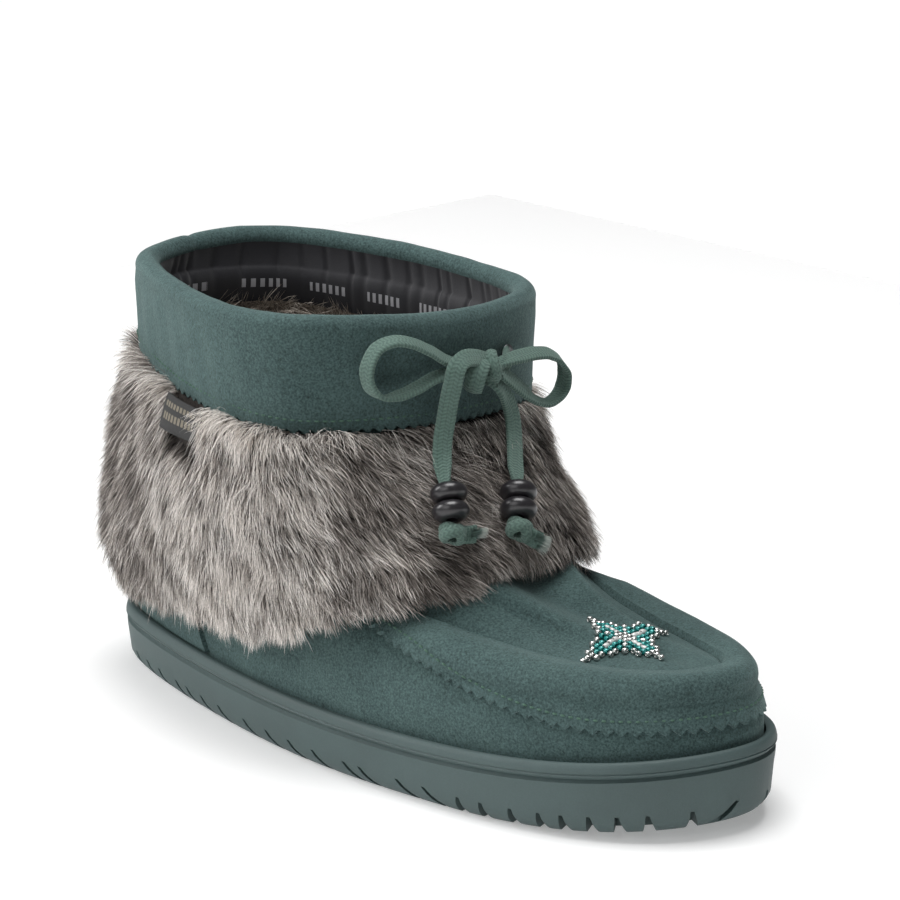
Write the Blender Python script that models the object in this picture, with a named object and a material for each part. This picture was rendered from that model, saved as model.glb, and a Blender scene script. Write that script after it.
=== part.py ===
"""Low fur-banded moccasin boot for the right foot, built as its separate pieces.

The toe points along +X, the lateral side faces -Y and the sole stands on z = 0.
The origin is on the flat tread under the middle of the sole.
"""
import math

import bmesh
import bpy
import numpy as np
from mathutils import Vector
from mathutils.bvhtree import BVHTree

# Driving sizes in metres
LENGTH = 0.285
BALL_WIDTH = 0.1043
COLLAR_HEIGHT = 0.152
GAP = 0.0003
SEAT_GAP = 0.0007
COVER_GAP = 0.0024
RIDGE_COVER = 0.0044
RIDGE_REACH = 0.14
APRON_GAP = 0.0010

# Sole
GROOVE_HEIGHT = 0.0165
RIM_BEAD = 0.0056
CUP_DEPTH = 0.0095
RIM_WALL = 0.0034
TOP_SPRING = 0.0085
TREAD_SPRING = 0.0053
TOP_SPRING_START = 0.60
TREAD_SPRING_START = 0.70
SLIT_WIDTH = 0.0014
SLIT_HEIGHT = 0.0050
SLIT_DEPTH = 0.0045
LUG_GAP_FOOT = 0.0052
LUG_GAP_HEAD = 0.0026
LUG_GAP_HEIGHT = 0.0062
LUG_GAP_DEPTH = 0.0120
TREAD_GROOVE_WIDTH = 0.0040
TREAD_GROOVE_DEPTH = 0.0030

# Upper and the panels that lie over it
WALL = 0.0020
INSOLE_THICKNESS = 0.0050
INSOLE_MARGIN = 0.0016
OVERLAY_THICKNESS = 0.0019
ROLL_RISE = 0.0050
APRON_THICKNESS = 0.0016
COUNTER_THICKNESS = 0.0012
VAMP_TILT = 0.055

# Cuff, fur, hardware and lace
CUFF_THICKNESS = 0.0034
CUFF_ROLL = 0.0052
LOCK_RELIEF = 0.0024
FUR_LEAST = 0.0014
HEM_RAG = 0.0035
EYELET_RADIUS = 0.0032
EYELET_HOLE = 0.0017
EYELET_THICKNESS = 0.0010
LACE_WIDTH = 0.0064
LACE_GATHERED = 0.0036
LACE_THICKNESS = 0.0017
BEAD_RADIUS = 0.0062
BEAD_HEIGHT = 0.0060
BEAD_HOLE = 0.0019
STAR_SPAN = 0.0328
STAR_WAIST = 0.30
STAR_THICKNESS = 0.0015
STAR_GAP = 0.0009
STAR_WIDTH = 0.0374
TAB_SPAN = 0.066
TAB_THICKNESS = 0.0010
TAB_LIFT = 0.0008
TAB_LEVEL = 2.96
TAB_STEP = 0.145
KNOT_SIZE = (0.0042, 0.0062, 0.0058)

# Mesh density
AROUND = 60
SOLE_AROUND = 60

# Where the control points of a ring lie, as shares of that ring's own length
STATIONS = (("heel", 0.12), ("waist", 0.42), ("ball", 0.66), ("fore", 0.86))

# Rings of the boot from the sole to the collar. back and front are shares of
# LENGTH from the middle, widths are shares of BALL_WIDTH to the near (lateral)
# and far (medial) side, and toe is where the front point lies across.
RING_COLUMNS = (
    "name", "back", "front",
    "near_heel", "near_waist", "near_ball", "near_fore",
    "far_heel", "far_waist", "far_ball", "far_fore", "toe")
OUTLINE = dict(zip(RING_COLUMNS, (
    "outline", -0.500, 0.500, 0.383, 0.537, 0.519, 0.396, 0.379, 0.405, 0.480, 0.438, 0.096)))
RING_ROWS = (
    ("panel", -0.484, 0.481, 0.338, 0.490, 0.476, 0.354, 0.334, 0.372, 0.440, 0.398, 0.096),
    ("shoulder", -0.474, 0.464, 0.332, 0.478, 0.440, 0.325, 0.330, 0.402, 0.420, 0.368, 0.096),
    ("apron edge", -0.456, 0.441, 0.345, 0.484, 0.350, 0.225, 0.345, 0.450, 0.326, 0.240, 0.096),
    ("apron", -0.446, 0.335, 0.350, 0.498, 0.322, 0.150, 0.350, 0.490, 0.305, 0.150, 0.040),
    ("instep", -0.440, 0.175, 0.350, 0.505, 0.430, 0.262, 0.352, 0.510, 0.420, 0.255, 0.010),
    ("ankle", -0.434, 0.078, 0.345, 0.500, 0.510, 0.385, 0.350, 0.515, 0.495, 0.365, 0.0),
    ("cuff foot", -0.427, 0.052, 0.335, 0.495, 0.545, 0.480, 0.352, 0.510, 0.530, 0.440, 0.0),
    ("collar", -0.427, 0.054, 0.335, 0.495, 0.558, 0.502, 0.358, 0.515, 0.540, 0.455, 0.0))
RINGS = tuple(dict(zip(RING_COLUMNS, row)) for row in RING_ROWS)

# Heights of the same rings as shares of COLLAR_HEIGHT, at the heel's back, at
# the four stations and at the toe. tilt says how far the vamp's tilt counts.
HEIGHT_COLUMNS = ("back", "heel", "waist", "ball", "fore", "toe", "tilt")
HEIGHT_ROWS = (
    (0.235, 0.235, 0.240, 0.235, 0.228, 0.232, 0.0),
    (0.330, 0.335, 0.350, 0.316, 0.293, 0.294, 0.05),
    (0.420, 0.430, 0.455, 0.362, 0.316, 0.315, -0.25),
    (0.510, 0.520, 0.560, 0.470, 0.368, 0.340, -0.15),
    (0.610, 0.620, 0.650, 0.585, 0.480, 0.398, 0.0),
    (0.700, 0.705, 0.715, 0.680, 0.600, 0.560, 0.0),
    (0.785, 0.780, 0.755, 0.745, 0.740, 0.740, -0.7),
    (0.942, 0.938, 0.931, 0.925, 0.924, 0.920, -0.95))
HEIGHTS = tuple(dict(zip(HEIGHT_COLUMNS, row)) for row in HEIGHT_ROWS)

# Rows of the skin, counted upwards: the feather edge is 0, the rim of the sole
# is 1, and the rings above follow
PANEL_ROW = 2.0
PANEL_END_ROW = 3.3
CUFF_ROW = 8.0
COLLAR_ROW = 9.0

# Levels of the sole's side, from the tread up: the base that a level follows,
# its rise above that base and its inset from the outline, in metres
SOLE_LEVELS = (
    ("tread", 0.0000, 0.0056),
    ("tread", 0.0014, 0.0034),
    ("tread", 0.0044, 0.0014),
    ("groove", -0.0040, 0.0003),
    ("groove", -0.0009, 0.0002),
    ("groove", 0.0000, 0.0013),
    ("groove", 0.0009, 0.0003),
    ("rim", -0.0027, -0.0002),
    ("rim", -0.0008, 0.0005),
    ("rim", 0.0000, 0.0018),
    ("rim", -0.0005, RIM_WALL),
    ("cup", 0.0000, RIM_WALL))

# Outer face of the fur band, from its hem up to the cuff, in the same columns
FUR_ROWS = (
    ("hem", -0.466, 0.180, 0.400, 0.550, 0.585, 0.535, 0.400, 0.500, 0.520, 0.490, 0.040),
    ("belly", -0.492, 0.174, 0.440, 0.610, 0.640, 0.545, 0.440, 0.570, 0.590, 0.470, 0.030),
    ("chest", -0.482, 0.128, 0.420, 0.620, 0.660, 0.555, 0.430, 0.595, 0.600, 0.445, 0.0),
    ("neck", -0.452, 0.075, 0.368, 0.550, 0.610, 0.550, 0.390, 0.560, 0.575, 0.465, 0.0))
FUR_RINGS = tuple(dict(zip(RING_COLUMNS, row)) for row in FUR_ROWS)
FUR_HEIGHT_ROWS = (
    (0.175, 0.190, 0.240, 0.262, 0.370, 0.440, 0.0),
    (0.330, 0.350, 0.390, 0.410, 0.470, 0.510, 0.0),
    (0.560, 0.560, 0.560, 0.570, 0.600, 0.620, -0.3),
    (0.765, 0.760, 0.735, 0.725, 0.720, 0.720, -0.7))
FUR_HEIGHTS = tuple(dict(zip(HEIGHT_COLUMNS, row)) for row in FUR_HEIGHT_ROWS)


def smooth_rise(share, start, amount):
    """Height gained past a start, growing with the square of the way beyond it."""
    beyond = np.clip((share - start) / (1.0 - start), 0.0, None)
    return amount * beyond ** 2


def tread_height(x):
    return smooth_rise(x / LENGTH + 0.5, TREAD_SPRING_START, TREAD_SPRING)


def groove_height(x):
    return GROOVE_HEIGHT + smooth_rise(x / LENGTH + 0.5, TOP_SPRING_START, TOP_SPRING)


def rim_height(x):
    return groove_height(x) + RIM_BEAD


def cup_height(x):
    return rim_height(x) - CUP_DEPTH


BASES = {"tread": tread_height, "groove": groove_height, "rim": rim_height, "cup": cup_height}


class ClosedSpline:
    """Periodic cubic spline through points at the given knots."""

    def __init__(self, points, knots):
        self.points = np.asarray(points, dtype=float)
        self.knots = np.asarray(knots, dtype=float)
        self.steps = np.diff(self.knots)
        count = len(self.points)
        matrix = np.zeros((count, count))
        target = np.zeros_like(self.points)
        for i in range(count):
            before, after = self.steps[i - 1], self.steps[i]
            matrix[i, i - 1] += before
            matrix[i, i] += 2.0 * (before + after)
            matrix[i, (i + 1) % count] += after
            rise_after = (self.points[(i + 1) % count] - self.points[i]) / after
            rise_before = (self.points[i] - self.points[i - 1]) / before
            target[i] = 6.0 * (rise_after - rise_before)
        self.bends = np.linalg.solve(matrix, target)

    def at(self, place):
        """Point at a place along the knots."""
        place = place % self.knots[-1]
        i = min(int(np.searchsorted(self.knots, place, side="right")) - 1, len(self.steps) - 1)
        j = (i + 1) % len(self.points)
        step = self.steps[i]
        a = (self.knots[i + 1] - place) / step
        b = 1.0 - a
        bend = (a ** 3 - a) * self.bends[i] + (b ** 3 - b) * self.bends[j]
        return a * self.points[i] + b * self.points[j] + bend * step ** 2 / 6.0


def control_points(ring, inset=0.0):
    """The fourteen control points of a ring in plan, heel back first, near side next."""
    back = ring["back"] * LENGTH + inset
    front = ring["front"] * LENGTH - inset
    toe = ring["toe"] * BALL_WIDTH
    span = front - back
    near, far = [], []
    for station, share in STATIONS:
        x = back + share * span
        near.append((x, inset - ring["near_" + station] * BALL_WIDTH))
        far.append((x, ring["far_" + station] * BALL_WIDTH - inset))
    heel_corner = back + 0.035 * span
    toe_corner = back + 0.965 * span
    near_toe = near[3][1] * 0.55 + toe * 0.45
    far_toe = far[3][1] * 0.55 + toe * 0.45
    return (
        [(back, 0.0), (heel_corner, near[0][1] * 0.66)] + near
        + [(toe_corner, near_toe), (front, toe), (toe_corner, far_toe)] + far[::-1]
        + [(heel_corner, far[0][1] * 0.66)])


def control_heights(row):
    """The same fourteen points' heights."""
    side = [row["heel"], row["waist"], row["ball"], row["fore"]]
    corner = 0.5 * (row["fore"] + row["toe"])
    heel_corner = 0.5 * (row["back"] + row["heel"])
    shares = [row["back"], heel_corner] + side + [corner, row["toe"], corner] + side[::-1] + [heel_corner]
    return [share * COLLAR_HEIGHT for share in shares]


def knots_of(points):
    """Knots spaced by the square root of each step, which keeps the curve even."""
    closed = list(points) + [points[0]]
    knots = [0.0]
    for a, b in zip(closed, closed[1:]):
        knots.append(knots[-1] + math.sqrt(math.dist(a, b)))
    return knots


KNOTS = knots_of(control_points(OUTLINE))
OUTLINE_CURVE = ClosedSpline(control_points(OUTLINE), KNOTS)


def even_places(curve, samples=720):
    """Places along the knots for even shares of the way around."""
    places = np.linspace(0.0, curve.knots[-1], samples + 1)
    points = np.array([curve.at(place) for place in places])
    lengths = np.concatenate([[0.0], np.cumsum(np.linalg.norm(np.diff(points, axis=0), axis=1))])
    return lengths / lengths[-1], places


SHARE_GRID, PLACE_GRID = even_places(OUTLINE_CURVE)


def place_of(share):
    """Place along the knots at a share of the way around the outline."""
    return float(np.interp(share % 1.0, SHARE_GRID, PLACE_GRID))


def outline_frame(share):
    """Point, forward direction and outward direction of the sole's outline."""
    point = OUTLINE_CURVE.at(place_of(share))
    ahead = OUTLINE_CURVE.at(place_of(share + 0.0015))
    behind = OUTLINE_CURVE.at(place_of(share - 0.0015))
    forward = (ahead - behind) / np.linalg.norm(ahead - behind)
    outward = np.array([forward[1], -forward[0]])
    return point, forward, outward


def sole_row(height, lift):
    """A closed curve just inside the wall of the sole's cup."""
    plan = control_points(OUTLINE, RIM_WALL + 2.0 * GAP)
    return ClosedSpline([(x, y, float(height(x)) + lift) for x, y in plan], KNOTS)


def ring_row(ring, heights):
    """A closed curve through the raised control points of a ring."""
    tilt = heights["tilt"] * VAMP_TILT
    raised = zip(control_points(ring), control_heights(heights))
    return ClosedSpline([(x, y, z + tilt * y) for (x, y), z in raised], KNOTS)


class Skin:
    """A face all around the boot: closed curves, and a curve up through them."""

    def __init__(self, rows):
        self.rows = rows

    def point(self, share, row):
        """Point at a share of the way around and a row, by a curve through four rows."""
        place = place_of(share)
        last = len(self.rows) - 1
        low = int(min(max(math.floor(row), 0), last - 1))
        t = row - low
        picks = [min(max(low + k, 0), last) for k in (-1, 0, 1, 2)]
        p0, p1, p2, p3 = (self.rows[k].at(place) for k in picks)
        return 0.5 * (
            2.0 * p1 + (p2 - p0) * t + (2.0 * p0 - 5.0 * p1 + 4.0 * p2 - p3) * t ** 2
            + (3.0 * p1 - p0 - 3.0 * p2 + p3) * t ** 3)

    def normal(self, share, row):
        """Outward direction of the skin."""
        around = self.point(share + 0.004, row) - self.point(share - 0.004, row)
        top = len(self.rows) - 1.0
        up = self.point(share, min(row + 0.06, top)) - self.point(share, max(row - 0.06, 0.0))
        cross = np.cross(around, up)
        return cross / np.linalg.norm(cross)

    def lifted(self, share, row, lift):
        """Point above the skin by a lift along its normal."""
        return self.point(share, row) + lift * self.normal(share, row)


SKIN = Skin(
    [sole_row(cup_height, GAP), sole_row(rim_height, 0.0)]
    + [ring_row(ring, heights) for ring, heights in zip(RINGS, HEIGHTS)])
FUR_FACE = Skin([ring_row(ring, heights) for ring, heights in zip(FUR_RINGS, FUR_HEIGHTS)])

# Rows at which the upper's wall is built, and the wall's corners there
UPPER_ROWS = (0.0, 1.0, 1.5, 2.0, 2.5, 3.0, 3.5, 4.0, 4.5, 5.0, 6.0, 7.0, 8.2, 9.0)
LINING_ROWS = (0.0, 1.0, 2.0, 3.0, 4.0, 5.0, 6.0, 7.0, 8.2, 9.0)
CORNERS = np.array([
    [SKIN.point(i / AROUND, row) for i in range(AROUND)] for row in UPPER_ROWS])


def seat(share, row, lift):
    """Point a lift above the upper's flat facets, which what lies on it follows."""
    around = (share % 1.0) * AROUND
    i = int(around) % AROUND
    j = (i + 1) % AROUND
    a = around - int(around)
    k = min(int(np.searchsorted(UPPER_ROWS, row, side="right")) - 1, len(UPPER_ROWS) - 2)
    b = (row - UPPER_ROWS[k]) / (UPPER_ROWS[k + 1] - UPPER_ROWS[k])
    first, last = CORNERS[k, i], CORNERS[k + 1, j]
    turn = CORNERS[k, j] if b <= a else CORNERS[k + 1, i]
    if b <= a:
        point = first + a * (turn - first) + b * (last - turn)
    else:
        point = first + b * (turn - first) + a * (last - turn)
    return point + lift * SKIN.normal(share, row)


def clear_scene():
    for thing in list(bpy.data.objects):
        bpy.data.objects.remove(thing, do_unlink=True)


def material(name, colour, roughness, metallic=0.0):
    """A Principled material with one colour."""
    made = bpy.data.materials.new(name)
    made.use_nodes = True
    shader = made.node_tree.nodes["Principled BSDF"]
    shader.inputs["Base Color"].default_value = (*colour, 1.0)
    shader.inputs["Roughness"].default_value = roughness
    shader.inputs["Metallic"].default_value = metallic
    return made


def add_object(name, mesh_maker, finish, smooth_angle=35.0):
    """Link a new object whose mesh the maker fills in."""
    shape = bmesh.new()
    mesh_maker(shape)
    bmesh.ops.recalc_face_normals(shape, faces=shape.faces)
    mesh = bpy.data.meshes.new(name)
    shape.to_mesh(mesh)
    shape.free()
    mesh.materials.append(finish)
    mesh.shade_smooth()
    mesh.set_sharp_from_angle(angle=math.radians(smooth_angle))
    made = bpy.data.objects.new(name, mesh)
    bpy.context.scene.collection.objects.link(made)
    return made


def add_loops(shape, loops, closed_up=False):
    """Bridge closed loops of equally many points, and the last to the first if closed up."""
    rings = [[shape.verts.new(Vector(point)) for point in loop] for loop in loops]
    pairs = list(zip(rings, rings[1:]))
    if closed_up:
        pairs.append((rings[-1], rings[0]))
    for lower, upper in pairs:
        count = len(lower)
        for i in range(count):
            j = (i + 1) % count
            shape.faces.new((lower[i], lower[j], upper[j]))
            shape.faces.new((lower[i], upper[j], upper[i]))
    return rings


def add_ladder_cap(shape, ring):
    """Close a ring with strips across, from the near side to the far side."""
    count = len(ring)
    half = count // 2
    shape.faces.new((ring[0], ring[1], ring[count - 1]))
    for i in range(1, half - 1):
        shape.faces.new((ring[i], ring[i + 1], ring[count - i - 1], ring[count - i]))
    shape.faces.new((ring[half - 1], ring[half], ring[half + 1]))


def sole_loop(inset, height, lift):
    """Loop around the sole at an inset from the outline."""
    loop = []
    for i in range(SOLE_AROUND):
        point, _, outward = outline_frame(i / SOLE_AROUND)
        x, y = point - inset * outward
        loop.append((x, y, float(height(x)) + lift))
    return loop


def add_prism(shape, share, section, depth, reach=0.004):
    """A wedge through the sole's edge: its section lies along the edge and up."""
    point, forward, outward = outline_frame(share)
    base = float(tread_height(point[0])) - 0.002
    rings = []
    for out in (reach, -depth):
        ring = []
        for along, up in section:
            x, y = point + out * outward + along * forward
            ring.append(shape.verts.new((x, y, base + up)))
        rings.append(ring)
    outer, inner = rings
    count = len(section)
    for i in range(count):
        j = (i + 1) % count
        shape.faces.new((outer[i], outer[j], inner[j], inner[i]))
    shape.faces.new(outer[::-1])
    shape.faces.new(inner)


def slit_section(lean):
    """Narrow slanted slit up from below the tread."""
    half = SLIT_WIDTH / 2.0
    head = SLIT_HEIGHT + 0.002
    return ((-half, 0.0), (half, 0.0), (half + lean, head), (lean - half, head))


def lug_gap_section(lean):
    """Open gap between two lugs, wider at the tread."""
    foot = LUG_GAP_FOOT / 2.0
    head = LUG_GAP_HEAD / 2.0
    top = LUG_GAP_HEIGHT + 0.002
    return ((-foot, 0.0), (foot, 0.0), (head + lean, top), (lean - head, top))


# Where the side of the sole is cut, as shares of the way around the near half
SLIT_SHARES = tuple(0.035 + 0.0185 * i for i in range(13))
LUG_GAP_SHARES = tuple(0.292 + 0.0215 * i for i in range(9))
SLIT_LEAN = 0.0022
LUG_GAP_LEAN = -0.0012
TREAD_GROOVE_SPOTS = (-0.40, -0.34, -0.28, -0.22, -0.16, 0.08, 0.14, 0.20, 0.26, 0.32)
TREAD_GROOVE_REACH = 0.50


def build_tread_cutter():
    """Every slit, lug gap and cross groove of the sole, as one cutting mesh."""
    def fill(shape):
        for share in SLIT_SHARES:
            add_prism(shape, share, slit_section(SLIT_LEAN), SLIT_DEPTH)
            add_prism(shape, 1.0 - share, slit_section(-SLIT_LEAN), SLIT_DEPTH)
        for share in LUG_GAP_SHARES:
            add_prism(shape, share, lug_gap_section(LUG_GAP_LEAN), LUG_GAP_DEPTH)
            add_prism(shape, 1.0 - share, lug_gap_section(-LUG_GAP_LEAN), LUG_GAP_DEPTH)
        for spot in TREAD_GROOVE_SPOTS:
            x = spot * LENGTH
            top = float(tread_height(x)) + TREAD_GROOVE_DEPTH
            reach = TREAD_GROOVE_REACH * BALL_WIDTH / 2.0
            size = Vector((TREAD_GROOVE_WIDTH, 2.0 * reach, top + 0.002))
            made = bmesh.ops.create_cube(shape, size=1.0)
            for vert in made["verts"]:
                vert.co = Vector(a * b for a, b in zip(vert.co, size))
                vert.co += Vector((x, 0.0, top - size.z / 2.0))
    cutter = add_object("tread_cutter", fill, material("cutter", (0.5, 0.5, 0.5), 0.5))
    cutter.hide_render = True
    cutter.display_type = "WIRE"
    return cutter


def build_outsole(finish):
    """Moulded cup sole: tread, side wall, groove and rounded rim."""
    def fill(shape):
        loops = []
        for base, lift, inset in SOLE_LEVELS:
            loops.append(sole_loop(inset, BASES[base], lift))
        rings = add_loops(shape, loops)
        add_ladder_cap(shape, rings[0])
        add_ladder_cap(shape, rings[-1])
    outsole = add_object("outsole", fill, finish)
    cut = outsole.modifiers.new("tread cuts", "BOOLEAN")
    cut.operation = "DIFFERENCE"
    cut.solver = "EXACT"
    cut.object = build_tread_cutter()
    return outsole


def build_insole(finish):
    """Footbed that lies in the cup, inside the upper's feather edge."""
    inset = RIM_WALL + GAP + WALL + INSOLE_MARGIN

    def fill(shape):
        rounding = 0.0012
        loops = [
            sole_loop(inset + rounding, cup_height, GAP),
            sole_loop(inset, cup_height, GAP + rounding),
            sole_loop(inset, cup_height, GAP + INSOLE_THICKNESS - rounding),
            sole_loop(inset + rounding, cup_height, GAP + INSOLE_THICKNESS)]
        rings = add_loops(shape, loops)
        add_ladder_cap(shape, rings[0])
        add_ladder_cap(shape, rings[-1])
    return add_object("insole", fill, finish)


def build_upper(finish):
    """One hollow wall from the feather edge to the collar, open at both."""
    def fill(shape):
        outer = [[corner.copy() for corner in loop] for loop in CORNERS]
        inner = [
            [SKIN.lifted(i / AROUND, row, -WALL) for i in range(AROUND)]
            for row in reversed(LINING_ROWS)]
        for loop, level in ((inner[0], outer[-1]), (inner[-1], outer[0])):
            for inside, outside in zip(loop, level):
                inside[2] = outside[2]
        add_loops(shape, outer + inner, closed_up=True)
    return add_object("upper", fill, finish)


def add_patch(shape, shares, low, high, lift, steps, gap=SEAT_GAP):
    """A panel on the skin between two edges, its face lifted by a function.

    low and high give the edges' rows at a share of the way around.
    """
    faces = []
    for share in shares:
        bottom, top = low(share), high(share)
        rows = [bottom + (top - bottom) * k / steps for k in range(steps + 1)]
        face = [seat(share, row, gap + lift(share, row)) for row in rows]
        back = [seat(share, row, gap) for row in reversed(rows)]
        faces.append(face + back)
    rings = [[shape.verts.new(Vector(point)) for point in ring] for ring in faces]
    for first, second in zip(rings, rings[1:]):
        count = len(first)
        for i in range(count):
            j = (i + 1) % count
            shape.faces.new((first[i], first[j], second[j]))
            shape.faces.new((first[i], second[j], second[i]))
    for ring, flip in ((rings[0], True), (rings[-1], False)):
        count = len(ring)
        for i in range(count // 2 - 1):
            quad = (ring[i], ring[i + 1], ring[count - 2 - i], ring[count - 1 - i])
            shape.faces.new(quad[::-1] if flip else quad)


# Spans of the panels: shares of the way around, and rows of the skin
VAMP_START = 17 / AROUND
VAMP_END = 43 / AROUND
VAMP_FADE = 0.05
VAMP_CLIMB = 0.150
VAMP_STEPS = 52
ROLL_ROW = 4.05
APRON_LOW_ROW = 4.16
APRON_TOP_ROW = 6.4
APRON_START = 19 / AROUND
APRON_END = 41 / AROUND
COUNTER_HALF = 7 / AROUND
COUNTER_LOW_ROW = 1.06
COUNTER_TOP_ROW = 2.6


def even_shares(start, end, steps):
    return [start + (end - start) * i / steps for i in range(steps + 1)]


def vamp_low(share):
    """Row of the overlay's pinked edge, which climbs towards the fur."""
    from_end = min(share - VAMP_START, VAMP_END - share)
    climb = max(0.0, 1.0 - from_end / VAMP_CLIMB)
    return PANEL_ROW + (PANEL_END_ROW - PANEL_ROW) * climb ** 1.5


def vamp_lift(share, row):
    """Thin at the pinked edge, a fat roll at the apron, thin again at its ends."""
    across = (row - PANEL_ROW) / (ROLL_ROW - PANEL_ROW)
    roll = max(0.0, (across - 0.40) / 0.60)
    from_end = min(share - VAMP_START, VAMP_END - share)
    fade = min(1.0, max(0.0, from_end / VAMP_FADE))
    return OVERLAY_THICKNESS + ROLL_RISE * fade * math.sin(math.pi * 0.80 * roll ** 0.8)


def apron_lift(share, row):
    return APRON_THICKNESS


def counter_lift(share, row):
    return COUNTER_THICKNESS


def build_vamp(finish):
    """Moccasin overlay from its pinked lower edge to the roll around the apron."""
    def fill(shape):
        shares = even_shares(VAMP_START, VAMP_END, VAMP_STEPS)
        add_patch(shape, shares, vamp_low, lambda share: ROLL_ROW, vamp_lift, 8)
    return add_object("vamp_roll", fill, finish)


def build_apron(finish):
    """Crowned plug of the vamp, inside the roll and on under the fur."""
    def fill(shape):
        shares = even_shares(APRON_START, APRON_END, 33)
        add_patch(
            shape, shares, lambda share: APRON_LOW_ROW, lambda share: APRON_TOP_ROW, apron_lift, 6,
            APRON_GAP)
    return add_object("apron", fill, finish)


def build_counter(finish):
    """Heel counter, seamed to the sides a little forward of the heel."""
    def fill(shape):
        shares = even_shares(-COUNTER_HALF, COUNTER_HALF, 14)
        add_patch(
            shape, shares, lambda share: COUNTER_LOW_ROW, lambda share: COUNTER_TOP_ROW,
            counter_lift, 6)
    return add_object("heel_counter", fill, finish)


def panel_lift(share, row):
    """Face of whatever panel lies on the skin here, or zero."""
    share = share % 1.0
    if VAMP_START <= share <= VAMP_END and vamp_low(share) <= row <= ROLL_ROW:
        return vamp_lift(share, row)
    if APRON_START <= share <= APRON_END and APRON_LOW_ROW <= row <= APRON_TOP_ROW:
        return apron_lift(share, row)
    if min(share, 1.0 - share) <= COUNTER_HALF and COUNTER_LOW_ROW <= row <= COUNTER_TOP_ROW:
        return counter_lift(share, row)
    return 0.0


def cover_lift(share, row):
    """Clear height over the panels near a spot, with more over the ridge in front."""
    near = ((-1.0, 0.0, 1.0), (-0.8, -0.4, 0.0, 0.4, 0.8))
    highest = max(panel_lift(share + a / AROUND, row + b) for a in near[0] for b in near[1])
    ridge = max(0.0, 1.0 - abs(share % 1.0 - 0.5) / RIDGE_REACH)
    return COVER_GAP + RIDGE_COVER * math.sqrt(ridge) + highest


def lock_wave(share, level, turn):
    """Relief of one set of fur locks, between 0 and 1."""
    wave = math.sin(2.0 * math.pi * (share * turn + 0.37 * math.sin(level * 2.3 + turn)))
    return 0.5 + 0.5 * wave


FUR_STEPS = 8
FUR_BACK_STEPS = 6
FUR_TOP_ROW = 7.95


def fur_outer(share, across):
    """Outer face of the fur with its locks, from the hem (0) to the cuff (1)."""
    level = across * (len(FUR_ROWS) - 1)
    locks = 0.6 * lock_wave(share, 9.0 * across, 17) + 0.4 * lock_wave(share, 5.0 - 7.0 * across, 11)
    point = FUR_FACE.lifted(share, level, LOCK_RELIEF * (locks - 0.5) * (1.0 - across ** 3))
    point[2] += HEM_RAG * lock_wave(share, 1.0, 22) * (1.0 - across) ** 4
    return point


# A grid of spots on the skin, to find the one nearest to a point of the fur
GRID_SPOTS = [
    (share, row) for share in np.linspace(0.0, 1.0, 240, endpoint=False)
    for row in np.linspace(1.5, FUR_TOP_ROW, 66)]
GRID_POINTS = np.array([seat(share, row, 0.0) for share, row in GRID_SPOTS])


def spot_under(point):
    """Share and row of the skin's spot nearest to a point."""
    return GRID_SPOTS[int(np.argmin(np.linalg.norm(GRID_POINTS - point, axis=1)))]


def clear_of_panels(point):
    """The point, raised where the fur would be too thin over what lies below."""
    share, row = spot_under(point)
    normal = SKIN.normal(share, row)
    lift = float((point - seat(share, row, 0.0)) @ normal)
    need = cover_lift(share, row) + FUR_LEAST
    return point + max(0.0, need - lift) * normal


def evened(values, passes=1):
    """The same values around the ring, with sudden jumps evened out."""
    values = np.array(values)
    for _ in range(passes):
        values = 0.25 * np.roll(values, 1) + 0.5 * values + 0.25 * np.roll(values, -1)
    return values


def build_fur(finish):
    """Fur band around the ankle: one ring with its locks, hanging to a ragged hem."""
    def fill(shape):
        shares = [i / AROUND for i in range(AROUND)]
        outer = [
            [clear_of_panels(fur_outer(share, k / FUR_STEPS)) for share in shares]
            for k in range(FUR_STEPS + 1)]
        spots = [spot_under(point) for point in outer[0]]
        turns = [(spot[0] - share + 0.5) % 1.0 - 0.5 for spot, share in zip(spots, shares)]
        turns = evened(turns)
        hem_rows = evened([spot[1] for spot in spots])
        inner = []
        for k in range(FUR_BACK_STEPS + 1):
            across = k / FUR_BACK_STEPS
            loop = []
            for share, turn, hem_row in zip(shares, turns, hem_rows):
                spot = share + turn * (1.0 - across)
                row = hem_row + (FUR_TOP_ROW - hem_row) * across
                loop.append(seat(spot, row, cover_lift(spot, row)))
            inner.append(loop)
        add_loops(shape, outer + inner[::-1], closed_up=True)
    return add_object("fur_band", fill, finish)


# Angles at which the padded roll of the cuff is built, outside first
ROLL_ANGLES = (-20.0, 30.0, 80.0, 130.0, 190.0)


def cuff_loops():
    """Loops up the cuff's outer face, over the padded roll and down inside."""
    loops = []
    outer_lift = SEAT_GAP + CUFF_THICKNESS
    for row in (CUFF_ROW, CUFF_ROW + 0.5):
        loops.append([seat(i / AROUND, row, outer_lift) for i in range(AROUND)])
    for angle in ROLL_ANGLES:
        turn = math.radians(angle)
        loop = []
        for i in range(AROUND):
            share = i / AROUND
            edge = SKIN.point(share, COLLAR_ROW)
            flat = SKIN.normal(share, COLLAR_ROW - 0.5)
            flat[2] = 0.0
            flat /= np.linalg.norm(flat)
            centre_out = outer_lift - CUFF_ROLL
            centre = edge + flat * centre_out
            centre[2] += CUFF_ROLL + GAP
            loop.append(
                centre + flat * CUFF_ROLL * math.cos(turn)
                + np.array((0.0, 0.0, CUFF_ROLL * math.sin(turn))))
        loops.append(loop)
    for row in (COLLAR_ROW, UPPER_ROWS[-2], CUFF_ROW):
        lifted = [seat(i / AROUND, row, SEAT_GAP) for i in range(AROUND)]
        if row == COLLAR_ROW:
            for point in lifted:
                point[2] += GAP
        loops.append(lifted)
    return loops


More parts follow.
